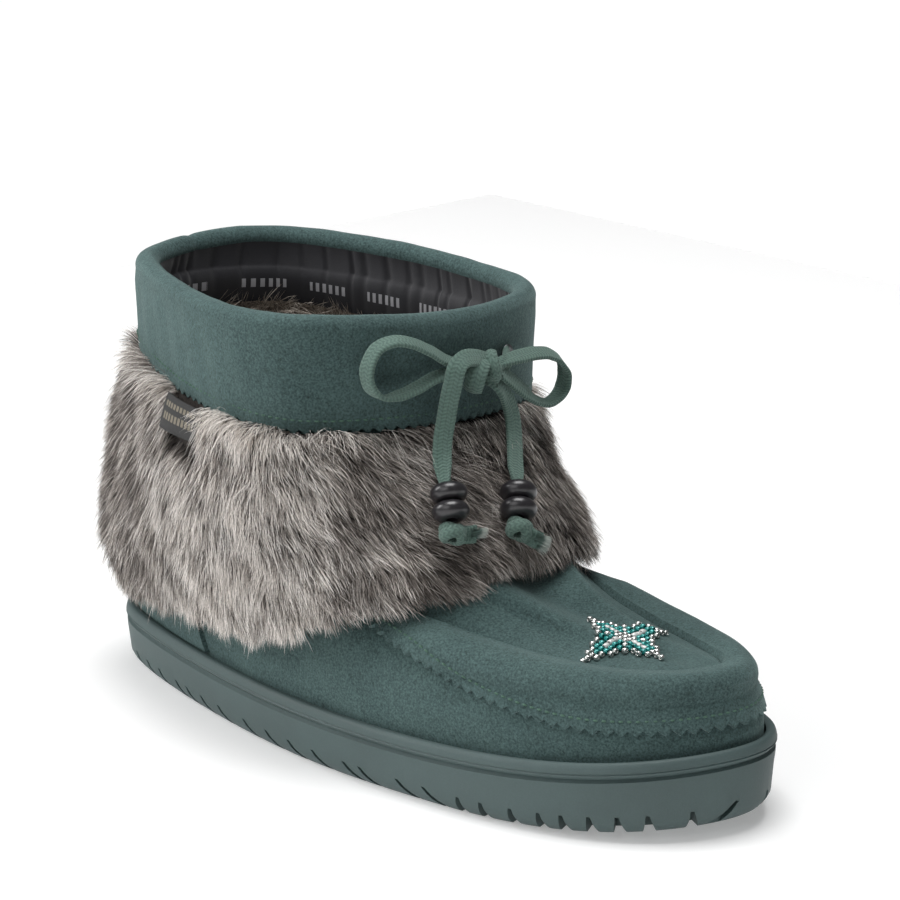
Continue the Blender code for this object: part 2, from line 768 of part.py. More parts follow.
def build_cuff(finish):
    """Cuff around the collar, with a padded rolled top edge."""
    def fill(shape):
        add_loops(shape, cuff_loops(), closed_up=True)
    return add_object("cuff", fill, finish)


# The bow's knot as shares of the length, ball width and collar height, and the
# routes of its lace in metres from the knot
KNOT_PLACE = (0.09193, 0.02876, 0.85526)
KNOT_CENTRE = np.array(KNOT_PLACE) * (LENGTH, BALL_WIDTH, COLLAR_HEIGHT)
LEFT_LOOP = (
    (-0.0017, -0.0062, 0.0022), (-0.0022, -0.0153, 0.0060), (-0.0036, -0.0256, 0.0120),
    (-0.0058, -0.0347, 0.0152), (-0.0086, -0.0416, 0.0134), (-0.0102, -0.0454, 0.0068),
    (-0.0094, -0.0436, -0.0002), (-0.0066, -0.0372, -0.0052), (-0.0034, -0.0300, -0.0050),
    (-0.0008, -0.0230, -0.0026), (0.0010, -0.0155, -0.0010), (0.0020, -0.0080, -0.0004))
RIGHT_LOOP = (
    (-0.0018, 0.0066, 0.0022), (-0.0026, 0.0140, 0.0042), (-0.0032, 0.0210, 0.0054),
    (-0.0036, 0.0300, 0.0030), (-0.0040, 0.0380, -0.0012), (-0.0040, 0.0430, -0.0088),
    (-0.0034, 0.0400, -0.0160), (-0.0026, 0.0320, -0.0172), (-0.0014, 0.0240, -0.0134),
    (0.0000, 0.0160, -0.0072), (0.0012, 0.0080, -0.0018))
LEFT_END = (
    (0.0006, -0.0040, 0.0076), (0.0038, -0.0092, 0.0082), (0.0054, -0.0142, 0.0042),
    (0.0054, -0.0176, -0.0020), (0.0036, -0.0198, -0.0090), (0.0010, -0.0210, -0.0150),
    (0.0016, -0.0226, -0.0202), (0.0052, -0.0252, -0.0254), (0.0097, -0.0280, -0.0302))
RIGHT_END = (
    (-0.0014, 0.0038, -0.0054), (-0.0020, 0.0098, -0.0114), (-0.0018, 0.0130, -0.0166),
    (0.0010, 0.0118, -0.0212), (0.0058, 0.0074, -0.0256), (0.0110, 0.0026, -0.0292),
    (0.0166, -0.0025, -0.0331))
LEFT_BEADS = (0.0125, -0.0300, -0.0324)
LEFT_HANG = (0.49, -0.32, -0.81)
RIGHT_BEADS = (0.0193, -0.0052, -0.0357)
RIGHT_HANG = (0.51, -0.48, -0.71)
LEFT_TAIL = ((0.0180, -0.0342, -0.0440), (0.0199, -0.0286, -0.0452), (0.0220, -0.0220, -0.0452))
RIGHT_TAIL = ((0.0253, -0.0112, -0.0454), (0.0288, -0.0076, -0.0488), (0.0312, -0.0030, -0.0514))
TAIL_RADII = (0.0034, 0.0026, 0.0022)
LACE_OUT = (0.92, -0.20, 0.30)
LEFT_END_OUT = (0.72, -0.62, 0.30)
RIGHT_END_OUT = (0.95, 0.10, 0.30)
EYELET_ROW = 8.75
EYELET_MIDDLE = 0.0978 * BALL_WIDTH
EYELET_SPREAD = 0.0080
EYELET_MARGIN = 0.0005
BAR_LIFT = 0.0031
BAR_END = (-0.0043, 0.0072, 0.0006)
TAB_SHARE = 0.2465
STAR_CENTRE = (0.3277 * LENGTH, -0.0067 * BALL_WIDTH)


def from_knot(points):
    """Points given from the bow's knot, in the boot's own frame."""
    return KNOT_CENTRE + np.array(points)


def smooth_route(points, count):
    """Even points on a smooth curve through the route's own points."""
    points = [np.array(point) for point in points]
    ends = [2.0 * points[0] - points[1]] + points + [2.0 * points[-1] - points[-2]]
    fine = []
    for k in range(1, len(ends) - 2):
        p0, p1, p2, p3 = ends[k - 1:k + 3]
        for t in np.linspace(0.0, 1.0, 12, endpoint=False):
            fine.append(0.5 * (
                2.0 * p1 + (p2 - p0) * t + (2.0 * p0 - 5.0 * p1 + 4.0 * p2 - p3) * t ** 2
                + (3.0 * p1 - p0 - 3.0 * p2 + p3) * t ** 3))
    fine.append(points[-1])
    fine = np.array(fine)
    lengths = np.concatenate([[0.0], np.cumsum(np.linalg.norm(np.diff(fine, axis=0), axis=1))])
    even = np.linspace(0.0, lengths[-1], count)
    return np.stack([np.interp(even, lengths, fine[:, axis]) for axis in range(3)], axis=1)


# Section of the flat lace, as shares of its width and thickness
LACE_SECTION = ((-0.5, 0.0), (-0.4, 0.5), (0.4, 0.5), (0.5, 0.0), (0.4, -0.5), (-0.4, -0.5))


def build_ribbon(name, route, finish, count=20, turned=0.0, face=LACE_OUT, width=LACE_WIDTH):
    """Flat lace along a route. turned says how far its face looks out of a loop."""
    path = smooth_route(route, count)
    middle = path.mean(axis=0)

    def fill(shape):
        loops = []
        for k, point in enumerate(path):
            tangent = path[min(k + 1, count - 1)] - path[max(k - 1, 0)]
            tangent /= np.linalg.norm(tangent)
            outward = point - middle
            out = np.array(face) + turned * outward / np.linalg.norm(outward)
            across = np.cross(tangent, out)
            across /= np.linalg.norm(across)
            through = np.cross(across, tangent)
            loops.append([
                point + a * width * across + b * LACE_THICKNESS * through
                for a, b in LACE_SECTION])
        rings = add_loops(shape, loops)
        shape.faces.new(rings[0][::-1])
        shape.faces.new(rings[-1])
    return add_object(name, fill, finish)


def build_knot(finish):
    """Half hitch of the bow, as one rounded lump."""
    def fill(shape):
        made = bmesh.ops.create_uvsphere(shape, u_segments=10, v_segments=6, radius=1.0)
        for vert in made["verts"]:
            vert.co = Vector(a * b for a, b in zip(vert.co, KNOT_SIZE)) + Vector(KNOT_CENTRE)
    return add_object("lace_knot", fill, finish)


# Half section of a bead: how far from its axis and how far along it, as shares
# of the bead's radius and height
BEAD_SECTION = ((0.58, 0.50), (1.0, 0.10), (1.0, -0.10), (0.58, -0.50))
BEAD_SIDES = 12


def build_bead(name, top, hang, index, finish):
    """One disc bead with its hole, the index-th below the lace."""
    axis = Vector(hang).normalized()
    side = axis.orthogonal().normalized()
    other = axis.cross(side)
    centre = Vector(from_knot(top)) + axis * index * (BEAD_HEIGHT + GAP)
    profile = [(BEAD_HOLE, -0.5 * BEAD_HEIGHT), (BEAD_HOLE, 0.5 * BEAD_HEIGHT)]
    profile += [(BEAD_RADIUS * a, BEAD_HEIGHT * b) for a, b in BEAD_SECTION]

    def fill(shape):
        loops = []
        for radius, along in profile:
            loop = []
            for i in range(BEAD_SIDES):
                turn = 2.0 * math.pi * i / BEAD_SIDES
                ray = side * math.cos(turn) + other * math.sin(turn)
                loop.append(centre + ray * radius - axis * along)
            loops.append(loop)
        add_loops(shape, loops, closed_up=True)
    return add_object(name, fill, finish)


def build_tail(name, points, finish):
    """Stopper knot under the beads and its cut end, as one tapering tube."""
    curve = bpy.data.curves.new(name, "CURVE")
    curve.dimensions = "3D"
    curve.bevel_depth = 1.0
    curve.bevel_resolution = 2
    curve.use_fill_caps = True
    line = curve.splines.new("POLY")
    path = smooth_route(from_knot(points), 7)
    line.points.add(len(path) - 1)
    shares = np.linspace(0.0, 1.0, len(path))
    radii = np.interp(shares, np.linspace(0.0, 1.0, len(TAIL_RADII)), TAIL_RADII)
    for spot, place, radius in zip(line.points, path, radii):
        spot.co = (*place, 1.0)
        spot.radius = radius
    made = bpy.data.objects.new(name, curve)
    bpy.context.scene.collection.objects.link(made)
    curve.materials.append(finish)
    return made


def share_across(target, row):
    """Share of the way around where the front of the skin lies across at a target."""
    shares = np.linspace(0.40, 0.60, 201)
    gaps = [abs(SKIN.point(share, row)[1] - target) for share in shares]
    return float(shares[int(np.argmin(gaps))])


def build_eyelet(name, across, finish):
    """Metal ring set in the cuff, where the lace comes out."""
    share = share_across(across, EYELET_ROW)
    facing = Vector(SKIN.normal(share, EYELET_ROW)).normalized()
    lift = SEAT_GAP + CUFF_THICKNESS + EYELET_MARGIN
    centre = Vector(seat(share, EYELET_ROW, lift))
    side = facing.orthogonal().normalized()
    other = facing.cross(side)
    profile = (
        (EYELET_HOLE, 0.0), (EYELET_RADIUS, 0.0), (EYELET_RADIUS * 0.85, EYELET_THICKNESS),
        (EYELET_HOLE * 1.2, EYELET_THICKNESS))

    def fill(shape):
        sides = 14
        loops = []
        for radius, rise in profile:
            turns = [2.0 * math.pi * i / sides for i in range(sides)]
            loops.append([
                centre + facing * rise + radius * (side * math.cos(turn) + other * math.sin(turn))
                for turn in turns])
        add_loops(shape, loops, closed_up=True)
    return add_object(name, fill, finish)


def build_lace_bar(name, across, finish):
    """Short stretch of lace from an eyelet to the back of the knot."""
    share = share_across(across, EYELET_ROW)
    start = seat(share, EYELET_ROW, SEAT_GAP + CUFF_THICKNESS + BAR_LIFT)
    end = from_knot(BAR_END)
    route = (start, 0.5 * (start + end), end)
    return build_ribbon(name, route, finish, count=4, width=LACE_GATHERED)


def build_tab(finish):
    """Folded label under the cuff's edge, lying on the fur."""
    columns, rows = 5, 3

    def fill(shape):
        face, back = [], []
        for i in range(columns):
            share = TAB_SHARE + TAB_SPAN * (i / (columns - 1) - 0.5)
            for k in range(rows):
                level = TAB_LEVEL - TAB_STEP * k
                lift = TAB_LIFT
                face.append(shape.verts.new(FUR_FACE.lifted(share, level, lift + TAB_THICKNESS)))
                back.append(shape.verts.new(FUR_FACE.lifted(share, level, lift)))
        for i in range(columns - 1):
            for k in range(rows - 1):
                a = i * rows + k
                b = a + rows
                shape.faces.new((face[a], face[b], face[b + 1], face[a + 1]))
                shape.faces.new((back[a + 1], back[b + 1], back[b], back[a]))
        edge = [i * rows for i in range(columns)]
        edge += [(columns - 1) * rows + k for k in range(1, rows)]
        edge += [i * rows + rows - 1 for i in reversed(range(columns - 1))]
        edge += [k for k in reversed(range(1, rows - 1))]
        for a, b in zip(edge, edge[1:] + edge[:1]):
            shape.faces.new((face[a], back[a], back[b], face[b]))
    return add_object("label_tab", fill, finish)


def build_star(apron, finish):
    """Four-pointed star of beadwork, as one low relief on the apron."""
    tree = BVHTree.FromObject(apron, bpy.context.evaluated_depsgraph_get())
    corners = []
    for i in range(8):
        turn = math.pi * i / 4.0
        reach = 1.0 if i % 2 == 0 else STAR_WAIST * math.sqrt(2.0)
        corners.append(np.array([
            STAR_SPAN / 2.0 * reach * math.cos(turn), STAR_WIDTH / 2.0 * reach * math.sin(turn)]))
    outline = []
    for a, b in zip(corners, corners[1:] + corners[:1]):
        outline.extend([a, 0.5 * (a + b)])

    def height(x, y):
        hit = tree.ray_cast(Vector((x, y, COLLAR_HEIGHT)), Vector((0.0, 0.0, -1.0)))
        return hit[0].z + STAR_GAP

    def fill(shape):
        layers = []
        for rise in (0.0, STAR_THICKNESS):
            rings = []
            for scale in (1.0, 0.7, 0.4):
                ring = []
                for point in outline:
                    x = STAR_CENTRE[0] + scale * point[0]
                    y = STAR_CENTRE[1] + scale * point[1]
                    ring.append(shape.verts.new((x, y, height(x, y) + rise)))
                rings.append(ring)
            x, y = STAR_CENTRE
            middle = shape.verts.new((x, y, height(x, y) + rise))
            layers.append((rings, middle))
        count = len(outline)
        for rings, middle in layers:
            for outer, inner in zip(rings, rings[1:]):
                for i in range(count):
                    j = (i + 1) % count
                    shape.faces.new((outer[i], outer[j], inner[j], inner[i]))
            for i in range(count):
                shape.faces.new((rings[-1][i], rings[-1][(i + 1) % count], middle))
        low, high = layers[0][0][0], layers[1][0][0]
        for i in range(count):
            j = (i + 1) % count
            shape.faces.new((low[i], low[j], high[j], high[i]))
    return add_object("bead_star", fill, finish)


def main():
    clear_scene()
    rubber = material("rubber", (0.060, 0.100, 0.095), 0.62)
    suede = material("suede", (0.045, 0.090, 0.082), 0.95)
    footbed = material("footbed", (0.22, 0.19, 0.16), 0.98)
    fur = material("fur", (0.22, 0.20, 0.19), 0.90)
    build_outsole(rubber)
    build_insole(footbed)
    build_upper(suede)
    build_vamp(suede)
    apron = build_apron(suede)
    build_counter(suede)
    build_fur(fur)
    build_cuff(suede)
    build_star(apron, material("beadwork", (0.55, 0.70, 0.68), 0.25))
    build_tab(material("label", (0.055, 0.055, 0.058), 0.85))
    metal = material("gunmetal", (0.20, 0.21, 0.22), 0.30, 1.0)
    lace = material("lace", (0.085, 0.170, 0.130), 0.90)
    for side, turn in (("left", -1.0), ("right", 1.0)):
        build_eyelet("eyelet_" + side, EYELET_MIDDLE + turn * EYELET_SPREAD, metal)
    build_lace_bar("lace_bar_right", EYELET_MIDDLE + EYELET_SPREAD, lace)
    build_knot(lace)
    build_ribbon("lace_loop_left", from_knot(LEFT_LOOP), lace, turned=0.8)
    build_ribbon("lace_loop_right", from_knot(RIGHT_LOOP), lace, turned=0.8)
    build_ribbon("lace_end_left", from_knot(LEFT_END), lace, count=15, face=LEFT_END_OUT)
    build_ribbon("lace_end_right", from_knot(RIGHT_END), lace, count=13, face=RIGHT_END_OUT)
    satin = material("bead_black", (0.012, 0.011, 0.013), 0.38)
    for side, top, hang, tail in (
            ("left", LEFT_BEADS, LEFT_HANG, LEFT_TAIL),
            ("right", RIGHT_BEADS, RIGHT_HANG, RIGHT_TAIL)):
        build_bead("bead_" + side + "_upper", top, hang, 0, satin)
        build_bead("bead_" + side + "_lower", top, hang, 1, satin)
        build_tail("end_knot_" + side, tail, lace)


main()
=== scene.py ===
"""Looks of the fur-trimmed ankle boot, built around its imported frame.

The suede panels, cuff, fur and sole are rebuilt finely from the same tables of
sections as the solids, in metres, and everything rides on the boot's one body.
"""
from __future__ import annotations

import logging
import math
from dataclasses import dataclass, field, replace
from enum import Enum
from typing import Any, Callable, Sequence

import bmesh
import bpy
import numpy as np
from mathutils import Matrix, Vector
from mathutils.bvhtree import BVHTree
from mathutils.kdtree import KDTree

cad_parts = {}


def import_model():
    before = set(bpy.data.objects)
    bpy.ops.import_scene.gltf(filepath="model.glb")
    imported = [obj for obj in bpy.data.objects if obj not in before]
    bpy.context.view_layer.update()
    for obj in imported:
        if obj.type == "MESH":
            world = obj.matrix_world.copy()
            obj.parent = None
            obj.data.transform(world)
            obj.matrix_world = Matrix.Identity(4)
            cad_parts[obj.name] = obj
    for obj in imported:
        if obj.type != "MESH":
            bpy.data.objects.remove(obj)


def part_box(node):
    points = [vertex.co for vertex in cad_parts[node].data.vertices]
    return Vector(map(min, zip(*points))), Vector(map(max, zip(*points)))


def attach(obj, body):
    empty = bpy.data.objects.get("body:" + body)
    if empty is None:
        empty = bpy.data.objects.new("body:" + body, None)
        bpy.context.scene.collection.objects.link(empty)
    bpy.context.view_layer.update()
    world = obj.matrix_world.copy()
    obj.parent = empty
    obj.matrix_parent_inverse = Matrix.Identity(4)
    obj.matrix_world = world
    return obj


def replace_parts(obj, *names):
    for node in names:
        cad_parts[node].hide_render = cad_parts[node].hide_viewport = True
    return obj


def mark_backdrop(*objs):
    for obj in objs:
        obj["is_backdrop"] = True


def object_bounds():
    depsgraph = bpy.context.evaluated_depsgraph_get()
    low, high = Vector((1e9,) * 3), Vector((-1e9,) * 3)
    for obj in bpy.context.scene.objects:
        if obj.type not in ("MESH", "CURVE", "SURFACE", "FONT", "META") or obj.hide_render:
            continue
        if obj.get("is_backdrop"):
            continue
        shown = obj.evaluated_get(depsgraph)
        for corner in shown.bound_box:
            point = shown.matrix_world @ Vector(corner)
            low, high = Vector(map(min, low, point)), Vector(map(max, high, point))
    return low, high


LOG = logging.getLogger("boot")
BODY = "root"
Array = np.ndarray

# ---- Sizes of the boot in metres, nearly all as in its CAD source

LENGTH = 0.285
BALL_WIDTH = 0.1043
COLLAR_HEIGHT = 0.152
GAP = 0.0003
SEAT_GAP = 0.0007
GROOVE_HEIGHT = 0.0165
RIM_BEAD = 0.0056
CUP_DEPTH = 0.0095
RIM_WALL = 0.0034
TOP_SPRING = 0.0085
TREAD_SPRING = 0.0053
TOP_SPRING_START = 0.60
TREAD_SPRING_START = 0.70
OVERLAY_THICKNESS = 0.0016
ROLL_RISE = 0.0050
APRON_THICKNESS = 0.0016
COUNTER_THICKNESS = 0.0012
VAMP_TILT = 0.055
CUFF_THICKNESS = 0.0034
CUFF_ROLL = 0.0052
LACE_WIDTH = 0.0064
LACE_THICKNESS = 0.0017
BEAD_RADIUS = 0.0062
BEAD_HEIGHT = 0.0060
BEAD_HOLE = 0.0019

# Stations along a ring, as shares of its length, and the rings themselves: lengths
# as shares of LENGTH, widths of BALL_WIDTH and heights of COLLAR_HEIGHT
STATIONS = (("heel", 0.12), ("waist", 0.42), ("ball", 0.66), ("fore", 0.86))
RING_COLUMNS = (
    "name", "back", "front",
    "near_heel", "near_waist", "near_ball", "near_fore",
    "far_heel", "far_waist", "far_ball", "far_fore", "toe")
OUTLINE = dict(zip(RING_COLUMNS, (
    "outline", -0.500, 0.500, 0.383, 0.537, 0.519, 0.396, 0.379, 0.405, 0.480, 0.438, 0.096)))
RING_ROWS = (
    ("panel", -0.484, 0.481, 0.338, 0.490, 0.476, 0.354, 0.334, 0.372, 0.440, 0.398, 0.096),
    ("shoulder", -0.474, 0.464, 0.332, 0.478, 0.440, 0.325, 0.330, 0.402, 0.420, 0.368, 0.096),
    ("apron edge", -0.456, 0.441, 0.345, 0.484, 0.350, 0.225, 0.345, 0.450, 0.326, 0.240, 0.096),
    ("apron", -0.446, 0.335, 0.350, 0.498, 0.322, 0.150, 0.350, 0.490, 0.305, 0.150, 0.040),
    ("instep", -0.440, 0.175, 0.350, 0.505, 0.430, 0.262, 0.352, 0.510, 0.420, 0.255, 0.010),
    ("ankle", -0.434, 0.078, 0.345, 0.500, 0.510, 0.385, 0.350, 0.515, 0.495, 0.365, 0.0),
    ("cuff foot", -0.427, 0.052, 0.335, 0.495, 0.545, 0.480, 0.352, 0.510, 0.530, 0.440, 0.0),
    ("collar", -0.427, 0.054, 0.335, 0.495, 0.558, 0.502, 0.358, 0.515, 0.540, 0.455, 0.0))
HEIGHT_COLUMNS = ("back", "heel", "waist", "ball", "fore", "toe", "tilt")
HEIGHT_ROWS = (
    (0.235, 0.235, 0.240, 0.235, 0.228, 0.232, 0.0),
    (0.330, 0.335, 0.350, 0.316, 0.293, 0.294, 0.05),
    (0.420, 0.430, 0.455, 0.362, 0.316, 0.315, -0.25),
    (0.510, 0.520, 0.560, 0.470, 0.368, 0.340, -0.15),
    (0.610, 0.620, 0.650, 0.585, 0.480, 0.398, 0.0),
    (0.700, 0.705, 0.715, 0.680, 0.600, 0.560, 0.0),
    (0.785, 0.780, 0.755, 0.745, 0.740, 0.740, -0.7),
    (0.942, 0.938, 0.931, 0.925, 0.924, 0.920, -0.95))
FUR_ROWS = (
    ("hem", -0.466, 0.180, 0.400, 0.550, 0.585, 0.535, 0.400, 0.500, 0.520, 0.490, 0.040),
    ("belly", -0.492, 0.174, 0.440, 0.610, 0.640, 0.545, 0.440, 0.570, 0.590, 0.470, 0.030),
    ("chest", -0.482, 0.128, 0.420, 0.620, 0.660, 0.555, 0.430, 0.595, 0.600, 0.445, 0.0),
    ("neck", -0.452, 0.075, 0.368, 0.550, 0.610, 0.550, 0.390, 0.560, 0.575, 0.465, 0.0),
    ("under cuff", -0.434, 0.060, 0.345, 0.508, 0.572, 0.500, 0.366, 0.524, 0.545, 0.455, 0.0))
FUR_HEIGHT_ROWS = (
    (0.175, 0.190, 0.240, 0.262, 0.370, 0.440, 0.0),
    (0.330, 0.350, 0.390, 0.410, 0.470, 0.510, 0.0),
    (0.560, 0.560, 0.560, 0.570, 0.600, 0.620, -0.3),
    (0.765, 0.760, 0.735, 0.725, 0.720, 0.720, -0.7),
    (0.795, 0.790, 0.766, 0.756, 0.751, 0.751, -0.7))
# Levels of the sole: base line, height above it and inset from the outline
SOLE_LEVELS = (
    ("tread", 0.0000, 0.0056), ("tread", 0.0006, 0.0044), ("tread", 0.0014, 0.0034),
    ("tread", 0.0028, 0.0022), ("tread", 0.0044, 0.0014), ("groove", -0.0060, 0.0007),
    ("groove", -0.0030, 0.0003), ("groove", -0.0009, 0.0002), ("groove", -0.0005, 0.0008),
    ("groove", 0.0000, 0.0013), ("groove", 0.0005, 0.0008), ("groove", 0.0009, 0.0003),
    ("rim", -0.0040, -0.0002), ("rim", -0.0036, 0.0001), ("rim", -0.0032, -0.0002),
    ("rim", -0.0018, 0.0001), ("rim", -0.0008, 0.0005), ("rim", -0.0002, 0.0011),
    ("rim", 0.0000, 0.0018), ("rim", -0.0005, RIM_WALL), ("cup", 0.0000, RIM_WALL))

# Places of the suede pieces: rows of the skin and shares of the way around
PANEL_ROW = 2.0
PANEL_END_ROW = 3.3
CUFF_ROW = 8.0
COLLAR_ROW = 9.0
AROUND = 60
VAMP_START = 17 / AROUND
VAMP_END = 43 / AROUND
VAMP_FADE = 0.05
VAMP_CLIMB = 0.150
ROLL_ROW = 4.05
APRON_LOW_ROW = 4.10
APRON_TOP_ROW = 6.4
APRON_START = 19 / AROUND
APRON_END = 41 / AROUND
COUNTER_FOOT = 0.1535
COUNTER_SLANT = 0.0155
COUNTER_TOP_ROW = 2.7

# Pinked edges: length and depth of a tooth in metres, and points to a tooth
VAMP_TOOTH = (0.0045, 0.0018)
CUFF_TOOTH = (0.0041, 0.0017)
TOOTH_POINTS = 6

# Cuts in the sole's side, as shares of the way around the near half, with the
# section of each along the edge and up
SLIT_SHARES = (
    0.074, 0.088, 0.104, 0.120, 0.141, 0.153, 0.169, 0.187, 0.212, 0.232, 0.251, 0.270, 0.293,
    0.304, 0.329, 0.346)
LUG_GAP_SHARES = (0.354, 0.3676, 0.3845, 0.400, 0.412, 0.426, 0.440, 0.455, 0.477)
TOE_CUT_SHARE = 0.485
SLIT_SECTION = ((-0.0016, 0.0), (0.0022, 0.0), (-0.0094, 0.0084), (-0.0108, 0.0084))
LUG_GAP_SECTION = ((-0.0024, 0.0), (0.0026, 0.0), (-0.0006, 0.0082), (-0.0018, 0.0082))
TOE_CUT_SECTION = ((-0.0030, 0.0), (0.0024, 0.0), (0.0098, 0.0092), (0.0088, 0.0096))
SLIT_DEPTH = 0.0062
LUG_GAP_DEPTH = 0.0120
TOE_CUT_DEPTH = 0.0050

# Routes of the lace through the air, with how much of its face shows at each point
# (1 flat on to the viewer, 0 edge on, below 0 its inner face)
KNOT_CENTRE = (0.0262, 0.0030, 0.1300)
LEFT_LOOP = (
    (0.0243, -0.0032, 0.1328, 0.45), (0.0229, -0.0127, 0.1363, 0.45),
    (0.0232, -0.0210, 0.1412, 0.42), (0.0221, -0.0283, 0.1449, 0.44),
    (0.0202, -0.0344, 0.1461, 0.54), (0.0177, -0.0396, 0.1437, 0.68),
    (0.0167, -0.0426, 0.1374, 0.72), (0.0171, -0.0417, 0.1313, 0.52),
    (0.0188, -0.0376, 0.1275, -0.05), (0.0200, -0.0317, 0.1274, -0.52),
    (0.0214, -0.0250, 0.1291, -0.62), (0.0230, -0.0176, 0.1318, -0.60),
    (0.0258, -0.0081, 0.1326, -0.55))
RIGHT_LOOP = (
    (0.0247, 0.0055, 0.1313, 0.45), (0.0248, 0.0105, 0.1322, 0.55),
    (0.0248, 0.0183, 0.1327, 0.72), (0.0247, 0.0258, 0.1325, 0.68),
    (0.0243, 0.0323, 0.1311, 0.52), (0.0237, 0.0379, 0.1278, 0.12),
    (0.0229, 0.0411, 0.1229, -0.62), (0.0221, 0.0412, 0.1178, -0.80),
    (0.0221, 0.0384, 0.1147, -0.66), (0.0232, 0.0331, 0.1139, -0.42),
    (0.0240, 0.0271, 0.1159, -0.30), (0.0255, 0.0200, 0.1204, -0.55),
    (0.0263, 0.0137, 0.1252, -0.62), (0.0268, 0.0072, 0.1301, -0.60))
LEFT_END = (
    (0.0281, 0.0000, 0.1350, 0.80), (0.0283, -0.0051, 0.1370, 0.86),
    (0.0291, -0.0108, 0.1378, 0.95), (0.0296, -0.0149, 0.1356, 1.0),
    (0.0294, -0.0165, 0.1305, 1.0), (0.0288, -0.0177, 0.1245, 1.0),
    (0.0281, -0.0184, 0.1184, 1.0), (0.0280, -0.0196, 0.1125, 1.0),
    (0.0296, -0.0215, 0.1074, 1.0), (0.0326, -0.0237, 0.1034, 0.96),
    (0.0365, -0.0264, 0.0997, 0.94))
RIGHT_END = (
    (0.0260, 0.0025, 0.1284, 0.45), (0.0277, 0.0059, 0.1250, 0.55),
    (0.0271, 0.0097, 0.1208, 0.68), (0.0265, 0.0124, 0.1160, 0.74),
    (0.0269, 0.0132, 0.1115, 0.76), (0.0288, 0.0119, 0.1073, 0.76),
    (0.0328, 0.0084, 0.1033, 0.76), (0.0374, 0.0042, 0.0996, 0.78),
    (0.0425, -0.0001, 0.0964, 0.80))
# Turns of the knot: centre, axis to the viewer's right and up, radii and width
KNOT_TURNS = (
    ((0.0268, -0.0033, 0.1304), (0.94, -0.30), (0.0042, 0.0049), 0.0066),
    ((0.0283, 0.0027, 0.1332), (0.97, 0.22), (0.0035, 0.0038), 0.0040))
# Directions that the eyelets face, and the beads: centre of the upper one on each
# end and the way they hang, with the route of the cut end past them
EYELET_FACES = {"left": (0.975, 0.02, 0.0), "right": (0.96, 0.24, 0.0)}
LEFT_BEADS = (0.0387, -0.0270, 0.0976)
LEFT_HANG = (0.49, -0.32, -0.81)
RIGHT_BEADS = (0.0455, -0.0022, 0.0943)
RIGHT_HANG = (0.51, -0.48, -0.71)
LEFT_TAIL = ((0.0442, -0.0312, 0.0860), (0.0461, -0.0256, 0.0848), (0.0482, -0.0190, 0.0848))
RIGHT_TAIL = ((0.0515, -0.0082, 0.0846), (0.0550, -0.0046, 0.0812), (0.0574, 0.0000, 0.0786))
STAR_CENTRE = (0.0934, -0.0007)

# Fabric tab: shares of the way around, and rows of the fur's face
TAB_SHARE = 0.2465
TAB_BEFORE = 0.029
TAB_AFTER = 0.031
TAB_LEVELS = (2.62, 3.14)
TAB_CLEAR_LEVEL = 2.54

# Cuff and lining: places are rows of the skin, depths are metres behind it
CUFF_SEAM_SHARE = 0.505
TURNED_ROW = 8.93
BAND_TOP_ROW = 8.88
BAND_ROWS = 0.56
PILE_ROWS = (0.25, 8.36)
PILE_DEPTH = 0.0050
FELT_ROW = 0.55
FELT_HEIGHT = 0.0052

# Camera of the photograph, in degrees and metres
CAMERA_AZIMUTH = 47.0
CAMERA_ELEVATION = 16.0
CAMERA_DISTANCE = 1.26007
FOCAL_PIXELS = 3665.15
PICTURE_PIXELS = 900.0
SENSOR_WIDTH = 36.0
CAMERA_RIGHT = 0.00702
CAMERA_UP = 0.09489

# Floor, the white room round it, and the lights: name, direction from the boot,
# distance, size and power
FLOOR_HALF = 0.62
FLOOR_WHITE = 0.80
FLOOR_GLOW = 0.27
ROOM_HALF = 4.0
ROOM_GLOW = 1.02
WORLD_STRENGTH = 0.13
LIGHT_TARGET = (0.0, 0.0, 0.07)
LIGHTS = (
    ("key", (-0.80, -0.72, 0.58), 1.6, 0.9, 14.6),
    ("top", (0.02, 0.02, 1.0), 1.5, 1.0, 21.0),
    ("fill", (0.25, -0.90, 0.50), 1.7, 1.2, 7.0))


def camera_axes() -> tuple[Array, Array, Array]:
    """Directions from the boot to the camera, to its right and up."""
    az, el = math.radians(CAMERA_AZIMUTH), math.radians(CAMERA_ELEVATION)
    back = np.array((math.sin(az) * math.cos(el), -math.cos(az) * math.cos(el), math.sin(el)))
    right = np.array((math.cos(az), math.sin(az), 0.0))
    return back, right, np.cross(back, right)


VIEWER, VIEWER_RIGHT, VIEWER_UP = camera_axes()


def smooth_step(values: Array, low: float, high: float) -> Array:
    """Smooth rise from 0 at low to 1 at high."""
    t = np.clip((np.asarray(values) - low) / (high - low), 0.0, 1.0)
    return t * t * (3.0 - 2.0 * t)


def unit(vectors: Array) -> Array:
    """The vectors along the last axis, each at length 1."""
    return vectors / np.maximum(np.linalg.norm(vectors, axis=-1, keepdims=True), 1e-12)


def cubic(p0: Array, p1: Array, p2: Array, p3: Array, t: Array | float) -> Array:
    """Point at t between p1 and p2 on the smooth curve through four points."""
    return 0.5 * (
        2.0 * p1 + (p2 - p0) * t + (2.0 * p0 - 5.0 * p1 + 4.0 * p2 - p3) * t ** 2
        + (3.0 * p1 - p0 - 3.0 * p2 + p3) * t ** 3)


def lengths_along(line: Array) -> Array:
    """Length of a line from its start to each of its points."""
    return np.concatenate([[0.0], np.cumsum(np.linalg.norm(np.diff(line, axis=0), axis=1))])


def smooth_rise(share: Array, start: float, amount: float) -> Array:
    """Height gained past a start, growing with the square of the way beyond it."""
    return amount * np.clip((share - start) / (1.0 - start), 0.0, None) ** 2


